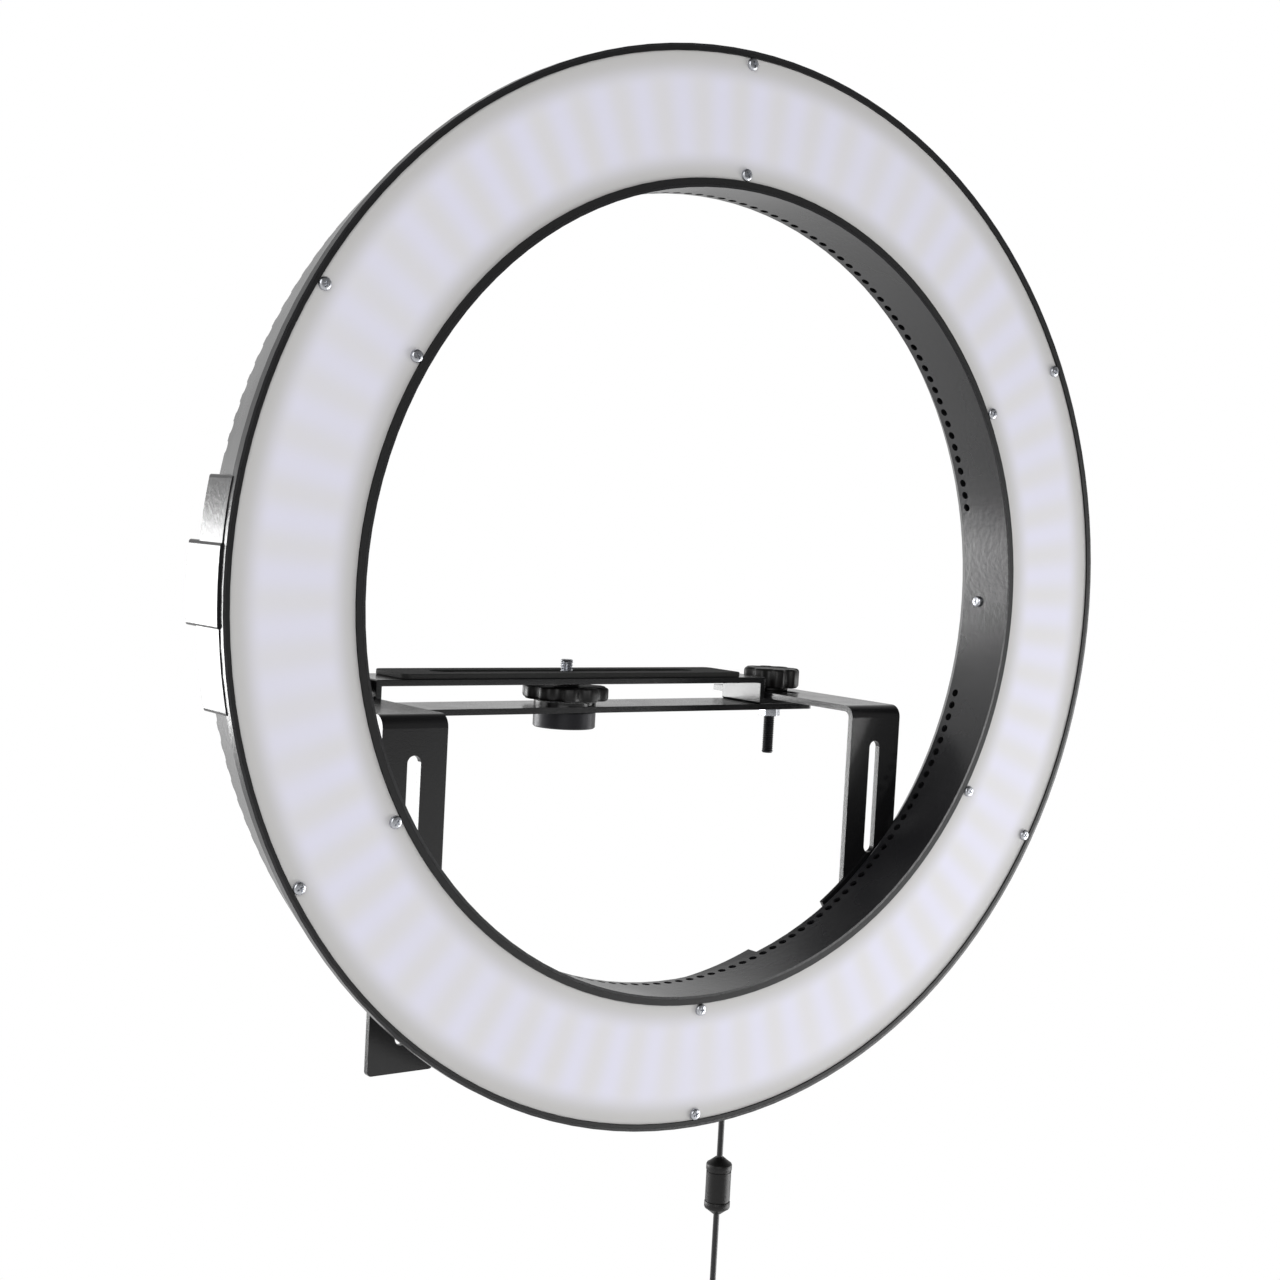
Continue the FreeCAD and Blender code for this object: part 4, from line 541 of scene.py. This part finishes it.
def threaded_rod(start, end, radius, pitch):
    """A rod with a rolled thread between two points in mm, plain for a little at each end."""
    start = Vector(start)
    axis = Vector(end) - start
    length = axis.length
    axis.normalize()
    side = axis.orthogonal().normalized()
    other = axis.cross(side)
    steps = 28
    rows_per_turn = 6
    run_out = 1.2
    chamfer = 0.6
    depth_per_pitch = 0.61
    kept_share = 0.9
    rows = max(2, round(length / pitch * rows_per_turn))
    points = []
    faces = []
    for row in range(rows + 1):
        rise = length * row / rows
        to_end = min(rise, length - rise)
        fade = min(1.0, max(0.0, (to_end - run_out * 0.3) / run_out))
        end_cut = max(0.0, chamfer - to_end)
        for step in range(steps):
            share = (rise / pitch - step / steps) % 1.0
            depth = abs(2 * share - 1) * depth_per_pitch * pitch * kept_share
            away = radius - depth * fade - end_cut
            turn = 2 * math.pi * step / steps
            points.append((start + axis * rise + away * (
                side * math.cos(turn) + other * math.sin(turn))) * MM)
    for row in range(rows):
        for step in range(steps):
            after = (step + 1) % steps
            faces.append((row * steps + step, row * steps + after,
                          (row + 1) * steps + after, (row + 1) * steps + step))
    faces.append(list(range(steps))[::-1])
    faces.append([rows * steps + step for step in range(steps)])
    mesh = bpy.data.meshes.new("thread")
    mesh.from_pydata(points, [], faces)
    return mesh


leg_x = 132.0
stud_r = 3.0
stud_pitch = 1.0
clamp_stud_low = -16.5
clamp_stud_high = 27.6
ring_screw_z = -88
ring_stud_front = -92.7
ring_stud_back = -71.4
for side, word in ((-1, "left"), (1, "right")):
    piece(word + "_clamp_thread", threaded_rod((side * leg_x, 0, clamp_stud_low),
                                               (side * leg_x, 0, clamp_stud_high),
                                               stud_r, stud_pitch),
          word + "_clamp", blackened, [word + "_clamp_stud"])
    piece(word + "_ring_thread", threaded_rod((side * leg_x, ring_stud_front, ring_screw_z),
                                              (side * leg_x, ring_stud_back, ring_screw_z),
                                              stud_r, stud_pitch),
          word + "_ring_screw", zinc, [word + "_ring_stud"])

camera_screw_foot = 15.45
camera_screw_tip = 33.6
shank_r = 3.0
groove_from = 10.45
neck_r = 2.575
neck_end = 11.4
thread_from = 26.7
quarter_inch_r = 3.175
quarter_inch_pitch = 1.27
piece("camera_thread", threaded_rod((0, 0, thread_from), (0, 0, camera_screw_tip), quarter_inch_r,
                                    quarter_inch_pitch),
      "camera_fixing", zinc, ["camera_screw"])
shank_profile = [(0, 0), (shank_r - 0.3, 0), (shank_r, 0.3), (shank_r, groove_from),
                 (neck_r, groove_from), (neck_r, neck_end), (0, neck_end)]
piece("camera_shank", turned_mesh(shank_profile, (0, 0, camera_screw_foot), (0, 0, 1)),
      "camera_fixing", zinc)

# Lobed knobs
# Moulded nylon grips with round lobes, on the two clamp screws, the two ring screws and the
# platform's screw. Their edges are rounded for the fingers, with a shallow dish in the top.


def lobed_mesh(base, axis, diameter, height, lobes, hub_d, hub_h):
    """A lobed grip in mm that stands on a hub at base and rises along axis."""
    axis = Vector(axis)
    side = axis.orthogonal().normalized()
    other = axis.cross(side)
    radius = diameter / 2
    notch = math.pi * diameter / lobes * 0.27
    centre = radius + notch * 0.28
    per_lobe = 16
    steps = lobes * per_lobe
    outline = []
    for step in range(steps):
        turn = 2 * math.pi * ((step + 0.5) % per_lobe - per_lobe / 2) / steps
        across = centre * math.sin(turn)
        reach = radius
        if abs(across) < notch:
            reach = min(radius, centre * math.cos(turn) - math.sqrt(notch ** 2 - across ** 2))
        outline.append(reach)
    for _ in range(2):
        outline = [min(reach, (outline[step - 1] + reach * 2 + outline[(step + 1) % steps]) / 4)
                   for step, reach in enumerate(outline)]
    foot = hub_h
    top = hub_h + height
    levels = [(foot, 1.1), (foot + 0.35, 0.35), (foot + 1.1, 0), (top - 1.6, 0),
              (top - 0.7, 0.35), (top - 0.15, 1.0), (top, 2.0)]
    points = []
    faces = []
    rings = []

    def ring(rise, reaches):
        rings.append(list(range(len(points), len(points) + steps)))
        for step, reach in enumerate(reaches):
            turn = 2 * math.pi * (step + 0.5 - per_lobe / 2) / steps
            points.append((Vector(base) + axis * rise + reach * (
                side * math.cos(turn) + other * math.sin(turn))) * MM)

    hub_r = hub_d / 2
    ring(0, [hub_r - 0.3] * steps)
    ring(0.3, [hub_r] * steps)
    ring(foot, [hub_r] * steps)
    for rise, inset in levels:
        ring(rise, [reach - inset for reach in outline])
    dish = radius * 0.62
    ring(top, [dish + 0.5] * steps)
    ring(top - 0.35, [dish] * steps)
    ring(top - 0.55, [dish * 0.6] * steps)
    for low, high in zip(rings, rings[1:]):
        for step in range(steps):
            after = (step + 1) % steps
            faces.append((low[step], low[after], high[after], high[step]))
    faces.append(rings[0][::-1])
    faces.append(rings[-1])
    mesh = bpy.data.meshes.new("grip")
    mesh.from_pydata(points, [], faces)
    shell = bmesh.new()
    shell.from_mesh(mesh)
    bmesh.ops.recalc_face_normals(shell, faces=shell.faces)
    shell.to_mesh(mesh)
    shell.free()
    return mesh


leg_flange_top = 17.5
leg_back = -80.5
camera_grip_top = 21.75
for side, word in ((-1, "left"), (1, "right")):
    piece(word + "_clamp_grip",
          lobed_mesh((side * leg_x, 0, leg_flange_top), (0, 0, 1), diameter=30, height=10,
                     lobes=8, hub_d=18, hub_h=1.6),
          word + "_clamp", nylon, [word + "_clamp_knob"])
    piece(word + "_ring_grip",
          lobed_mesh((side * leg_x, leg_back, ring_screw_z), (0, 1, 0), diameter=26, height=9,
                     lobes=8, hub_d=15.6, hub_h=1.6),
          word + "_ring_screw", nylon, [word + "_ring_knob"])
piece("camera_grip",
      lobed_mesh((0, 0, camera_grip_top), (0, 0, -1), diameter=43, height=6.6, lobes=10,
                 hub_d=13, hub_h=1.2),
      "camera_fixing", nylon, ["camera_knob"])

# Small screws
# Zinc-plated pan-head screws with a cross recess, M3: round the diffuser, on the back, on
# the control box and on the wall of the central hole.
head_d = 5.4
head_h = 1.6
screw_r = 1.5
stub = 1.0
slot_length = 3.0
slot_width = 0.65
slot_depth = 0.9
ring_front_y = -122.0


def ring_spot(radius, degrees, depth):
    """A point in mm at a radius and an angle, this far behind the front of the ring."""
    turn = math.radians(degrees)
    return Vector((radius * math.cos(turn), ring_front_y + depth,
                   ring_centre_z + radius * math.sin(turn)))


head_profile = [(0, -stub), (screw_r, -stub), (screw_r, 0), (head_d / 2, 0),
                (head_d / 2, head_h * 0.5), (head_d * 0.46, head_h * 0.78),
                (head_d * 0.36, head_h * 0.95), (head_d * 0.2, head_h), (0, head_h)]
screw_mesh = turned_mesh(head_profile, (0, 0, 0), (0, 0, 1), steps=24)
screw_form = bpy.data.objects.new("screw_form", screw_mesh)
bpy.context.collection.objects.link(screw_form)
cross_mesh = bpy.data.meshes.new("cross")
shell = bmesh.new()
for turn in (0, 90):
    blade = bmesh.ops.create_cube(shell, size=1.0, matrix=Matrix.Rotation(
        math.radians(turn), 4, "Z") @ Matrix.Diagonal(
        (slot_length * MM, slot_width * MM, 2 * slot_depth * MM, 1)))
    bmesh.ops.translate(shell, verts=blade["verts"], vec=(0, 0, head_h * MM))
shell.to_mesh(cross_mesh)
shell.free()
cross_form = bpy.data.objects.new("cross_form", cross_mesh)
bpy.context.collection.objects.link(cross_form)
recess = screw_form.modifiers.new("recess", "BOOLEAN")
recess.object = cross_form
recess.operation = "DIFFERENCE"
recess.solver = "EXACT"
recess.use_self = True
cut_head = bpy.data.meshes.new_from_object(
    screw_form.evaluated_get(bpy.context.evaluated_depsgraph_get()))
screw_form.modifiers.clear()
screw_form.data = cut_head
bpy.data.objects.remove(cross_form)

seating = bpy.data.node_groups.new("one form on each seat", "GeometryNodeTree")
seating.interface.new_socket("Seats", in_out="INPUT", socket_type="NodeSocketGeometry")
seating.interface.new_socket("Form", in_out="INPUT", socket_type="NodeSocketObject")
seating.interface.new_socket("Finish", in_out="INPUT", socket_type="NodeSocketMaterial")
seating.interface.new_socket("Spin Range", in_out="INPUT", socket_type="NodeSocketFloat")
seating.interface.new_socket("Fixed", in_out="OUTPUT", socket_type="NodeSocketGeometry")
given = add(seating, "NodeGroupInput")
facing = add(seating, "GeometryNodeInputNamedAttribute", {"Name": "facing"},
             data_type="FLOAT_VECTOR")
upright = add(seating, "FunctionNodeAlignRotationToVector",
              {"Vector": facing.outputs["Attribute"]}, axis="Z")
spin = add(seating, "FunctionNodeRandomValue", {"Seed": 7}, data_type="FLOAT")
seating.links.new(given.outputs["Spin Range"], spin.inputs[3])
twist = add(seating, "FunctionNodeAxisAngleToRotation", {"Axis": (0, 0, 1)})
seating.links.new(spin.outputs[1], twist.inputs["Angle"])
turned_seat = add(seating, "FunctionNodeRotateRotation",
                  {"Rotation": upright.outputs["Rotation"],
                   "Rotate By": twist.outputs["Rotation"]}, rotation_space="LOCAL")
form = add(seating, "GeometryNodeObjectInfo", {"Object": given.outputs["Form"],
                                               "As Instance": True})
placed = add(seating, "GeometryNodeInstanceOnPoints",
             {"Points": given.outputs["Seats"], "Instance": form.outputs["Geometry"],
              "Rotation": turned_seat.outputs["Rotation"]})
real = add(seating, "GeometryNodeRealizeInstances", {"Geometry": placed.outputs["Instances"]})
coated = add(seating, "GeometryNodeSetMaterial", {"Geometry": real.outputs["Geometry"],
                                                  "Material": given.outputs["Finish"]})
add(seating, "NodeGroupOutput", {0: coated.outputs["Geometry"]})


def seated(name, seats, form_object, finish, body, stands_for, spin_range=6.28):
    """One mesh of a form on each seat (a point in mm and the way it faces), spun at random."""
    mesh = bpy.data.meshes.new(name)
    mesh.from_pydata([point * MM for point, _ in seats], [], [])
    ways = mesh.attributes.new("facing", "FLOAT_VECTOR", "POINT")
    for entry, (_, way) in zip(ways.data, seats):
        entry.vector = way
    holder = bpy.data.objects.new(name, mesh)
    bpy.context.collection.objects.link(holder)
    modifier = holder.modifiers.new("seats", "NODES")
    modifier.node_group = seating
    values = {"Form": form_object, "Finish": finish, "Spin Range": spin_range}
    for socket in seating.interface.items_tree:
        if socket.name in values:
            modifier[socket.identifier] = values[socket.name]
    made = bpy.data.meshes.new_from_object(
        holder.evaluated_get(bpy.context.evaluated_depsgraph_get()))
    bpy.data.objects.remove(holder)
    return piece(name, made, body, finish, stands_for)


diffuser_face = 0.8
diffuser_screw_radii = (234.3, 186.3)
cover_back = 36.5
box_flange_back = 37.7
box_middle_deg = -90
box_screw_radii = (194, 209)
box_screw_deg = 22.3
hole_wall_r = 179.45
hole_wall_screw_depth = 20
diffuser_seats = [(ring_spot(radius, turn, diffuser_face), (0, -1, 0))
                  for turn in range(30, 360, 60) for radius in diffuser_screw_radii]
rear_seats = [(ring_spot(middle_r, turn, cover_back), (0, 1, 0)) for turn in range(30, 360, 60)]
box_seats = [(ring_spot(radius, box_middle_deg + turn, box_flange_back), (0, 1, 0))
             for radius in box_screw_radii for turn in (-box_screw_deg, box_screw_deg)]
wall_seats = [(ring_spot(side * hole_wall_r, 0, hole_wall_screw_depth), (-side, 0, 0))
              for side in (1, -1)]
for name, seats, node in (("diffuser_screw_heads", diffuser_seats, "diffuser_screws"),
                          ("rear_screw_heads", rear_seats, "rear_screws"),
                          ("box_screw_heads", box_seats, "control_box_screws"),
                          ("wall_screw_heads", wall_seats, "hole_wall_screws")):
    seated(name, seats, screw_form, zinc, "ring", [node])
bpy.data.objects.remove(screw_form)

# LED boards and their carrier
# White-masked circuit boards with surface-mounted LEDs, screwed to an aluminium ring plate
# on nylon posts. They are hidden by the diffuser and seen only when it is taken off.
mask_white, tree = blank_material("white solder mask on glass epoxy")
# A printed board is smooth and faintly glossy, with a weave just showing.
place = add(tree, "ShaderNodeTexCoord")
weave = add(tree, "ShaderNodeTexBrick", {"Vector": place.outputs["Object"], "Scale": 900.0,
                                         "Mortar Size": 0.01})
weave.inputs["Color1"].default_value = srgb("E6E7E4")
weave.inputs["Color2"].default_value = srgb("E2E3E0")
weave.inputs["Mortar"].default_value = srgb("DADBD8")
shader = add(tree, "ShaderNodeBsdfPrincipled", {
    "Base Color": weave.outputs["Color"], "Roughness": 0.36, "IOR": 1.5})
add(tree, "ShaderNodeOutputMaterial", {"Surface": shader.outputs["BSDF"]})
dressed("led_boards", mask_white)

resin, tree = blank_material("phosphor resin")
# The yellow phosphor disc of a white LED in its small resin case.
place = add(tree, "ShaderNodeTexCoord")
speck = add(tree, "ShaderNodeTexNoise", {"Vector": place.outputs["Object"], "Scale": 1500.0})
tone = add(tree, "ShaderNodeMix", {"Factor": speck.outputs["Fac"]}, data_type="RGBA")
tone.inputs["A"].default_value = srgb("E8C65A")
tone.inputs["B"].default_value = srgb("F0D98A")
shader = add(tree, "ShaderNodeBsdfPrincipled", {"Base Color": tone.outputs["Result"],
                                                "Roughness": 0.3, "IOR": 1.5})
add(tree, "ShaderNodeOutputMaterial", {"Surface": shader.outputs["BSDF"]})
dressed("led_packages", resin)

alloy, tree = blank_material("rolled aluminium sheet")
# Rolled sheet has long fine lines along the rolling direction.
place = add(tree, "ShaderNodeTexCoord")
along = add(tree, "ShaderNodeMapping", {"Vector": place.outputs["Object"],
                                        "Scale": (40.0, 2500.0, 2500.0)})
lines = add(tree, "ShaderNodeTexNoise", {"Vector": along.outputs["Vector"], "Scale": 1.0,
                                         "Detail": 4.0})
haze = add(tree, "ShaderNodeMapRange", {"Value": lines.outputs["Fac"], "To Min": 0.28,
                                        "To Max": 0.45})
shader = add(tree, "ShaderNodeBsdfPrincipled", {
    "Base Color": srgb("C9CBCD"), "Metallic": 1.0, "Roughness": haze.outputs["Result"]})
add(tree, "ShaderNodeOutputMaterial", {"Surface": shader.outputs["BSDF"]})
dressed("led_carrier", alloy)
dressed("carrier_posts", nylon)

# Driver board, its parts and the feed wires
# A green-masked board inside the control box, with a coil, two capacitors and a power chip,
# and a red wire pair through a grommet to the LED boards.
mask_green, tree = blank_material("green solder mask on glass epoxy")
# Copper tracks show under the mask as slightly paler patches.
place = add(tree, "ShaderNodeTexCoord")
tracks = add(tree, "ShaderNodeTexVoronoi", {"Vector": place.outputs["Object"], "Scale": 220.0},
             distance="MANHATTAN", feature="F1")
tone = add(tree, "ShaderNodeMix", {"Factor": tracks.outputs["Distance"]}, data_type="RGBA")
tone.inputs["A"].default_value = srgb("0F5A30")
tone.inputs["B"].default_value = srgb("17753F")
shader = add(tree, "ShaderNodeBsdfPrincipled", {"Base Color": tone.outputs["Result"],
                                                "Roughness": 0.35, "IOR": 1.5})
add(tree, "ShaderNodeOutputMaterial", {"Surface": shader.outputs["BSDF"]})
dressed("driver_board", mask_green)
dressed("driver_parts", abs_black)

wire_red, tree = blank_material("red PVC insulation")
# Thin extruded insulation, smooth and slightly waxy.
place = add(tree, "ShaderNodeTexCoord")
waves = add(tree, "ShaderNodeTexNoise", {"Vector": place.outputs["Object"], "Scale": 600.0})
gloss = add(tree, "ShaderNodeMapRange", {"Value": waves.outputs["Fac"], "To Min": 0.35,
                                         "To Max": 0.5})
shader = add(tree, "ShaderNodeBsdfPrincipled", {
    "Base Color": srgb("B01712"), "Roughness": gloss.outputs["Result"], "IOR": 1.53})
add(tree, "ShaderNodeOutputMaterial", {"Surface": shader.outputs["BSDF"]})
dressed("led_leads", wire_red)

# Controls on the box
# A fluted dimmer knob with a white pointer inside a scale of small printed ticks, a rocker
# switch marked for on and off, and the power socket beside them. All are moulded ABS.
print_white, tree = blank_material("white pad print")
# Pad-printed ink is thin, matt and a little uneven.
place = add(tree, "ShaderNodeTexCoord")
speck = add(tree, "ShaderNodeTexNoise", {"Vector": place.outputs["Object"], "Scale": 1800.0})
tone = add(tree, "ShaderNodeMix", {"Factor": speck.outputs["Fac"]}, data_type="RGBA")
tone.inputs["A"].default_value = srgb("D5D5D2")
tone.inputs["B"].default_value = srgb("EDEDEA")
shader = add(tree, "ShaderNodeBsdfPrincipled", {"Base Color": tone.outputs["Result"],
                                                "Roughness": 0.6})
add(tree, "ShaderNodeOutputMaterial", {"Surface": shader.outputs["BSDF"]})
for node in ("power_socket", "dimmer_knob"):
    dressed(node, abs_black)
softened("switch_body", abs_black, 0.3, "ring")
softened("switch_rocker", abs_black, 0.35, "power_switch")


def bar_mesh(x0, x1, y0, y1, z0, z1):
    """A plain bar in mm."""
    mesh = bpy.data.meshes.new("bar")
    shell = bmesh.new()
    bmesh.ops.create_cube(shell, size=1.0, matrix=Matrix.Translation(
        (Vector((x0 + x1, y0 + y1, z0 + z1)) / 2) * MM) @ Matrix.Diagonal(
        ((x1 - x0) * MM, (y1 - y0) * MM, (z1 - z0) * MM, 1)))
    shell.to_mesh(mesh)
    shell.free()
    return mesh


control_r = 201.0
box_back = 50.0
dimmer_deg = -103
scale_r = 10.0
scale_end_deg = 150
stroke_half_width = 0.25
stroke_half_length = 1
print_lift = 0.04
print_sink = 0.02
dimmer_spot = ring_spot(control_r, dimmer_deg, box_back)
stroke_form = bpy.data.objects.new("stroke_form", bar_mesh(
    -stroke_half_width, stroke_half_width, -print_lift, print_lift,
    -stroke_half_length, stroke_half_length))
bpy.context.collection.objects.link(stroke_form)
tick_seats = []
for swing_deg in range(-scale_end_deg, scale_end_deg + 1, 30):
    swing = math.radians(swing_deg)
    away = Vector((math.sin(swing), 0, math.cos(swing)))
    tick_seats.append((dimmer_spot + scale_r * away + Vector((0, print_lift, 0)), away))
seated("dimmer_scale", tick_seats, stroke_form, print_white, "ring", (),
       spin_range=0.0)
bpy.data.objects.remove(stroke_form)

knob_height = 12.8
pointer_half_width = 0.45
pointer_rise = 0.08
pointer_from = 1.9
pointer_to = 5.7
knob_top = dimmer_spot + Vector((0, knob_height, 0))
piece("dimmer_pointer", bar_mesh(
    knob_top.x - pointer_half_width, knob_top.x + pointer_half_width,
    knob_top.y - print_sink, knob_top.y + pointer_rise,
    knob_top.z + pointer_from, knob_top.z + pointer_to), "dimmer", print_white)

mark_reach = 1.6
mark_rise = 0.05
bar_half_width = 0.3
ring_hollow_r = 1.15
rocker_low, rocker_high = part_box("switch_rocker")
rocker_x = (rocker_low[0] + rocker_high[0]) / 2
rocker_sides = {"on": [], "off": []}
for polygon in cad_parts["switch_rocker"].data.polygons:
    if polygon.normal.y > 0.9:
        rocker_sides["on" if polygon.center.x > rocker_x else "off"].append(polygon)
for side, polygons in rocker_sides.items():
    area = sum(polygon.area for polygon in polygons)
    middle = sum((polygon.center * polygon.area for polygon in polygons), Vector()) / area / MM
    upwards = sum((polygon.normal * polygon.area for polygon in polygons), Vector()).normalized()
    if side == "on":
        mark_mesh = bar_mesh(-bar_half_width, bar_half_width, -mark_reach, mark_reach,
                             -print_sink, mark_rise)
        tilt = upwards.to_track_quat("Z", "Y").to_matrix().to_4x4()
        mark_mesh.transform(Matrix.Translation(middle * MM) @ tilt)
    else:
        mark_mesh = turned_mesh([(ring_hollow_r, -print_sink), (mark_reach, -print_sink),
                                 (mark_reach, mark_rise), (ring_hollow_r, mark_rise)],
                                middle, upwards)
    piece("rocker_mark_" + side, mark_mesh, "power_switch", print_white)
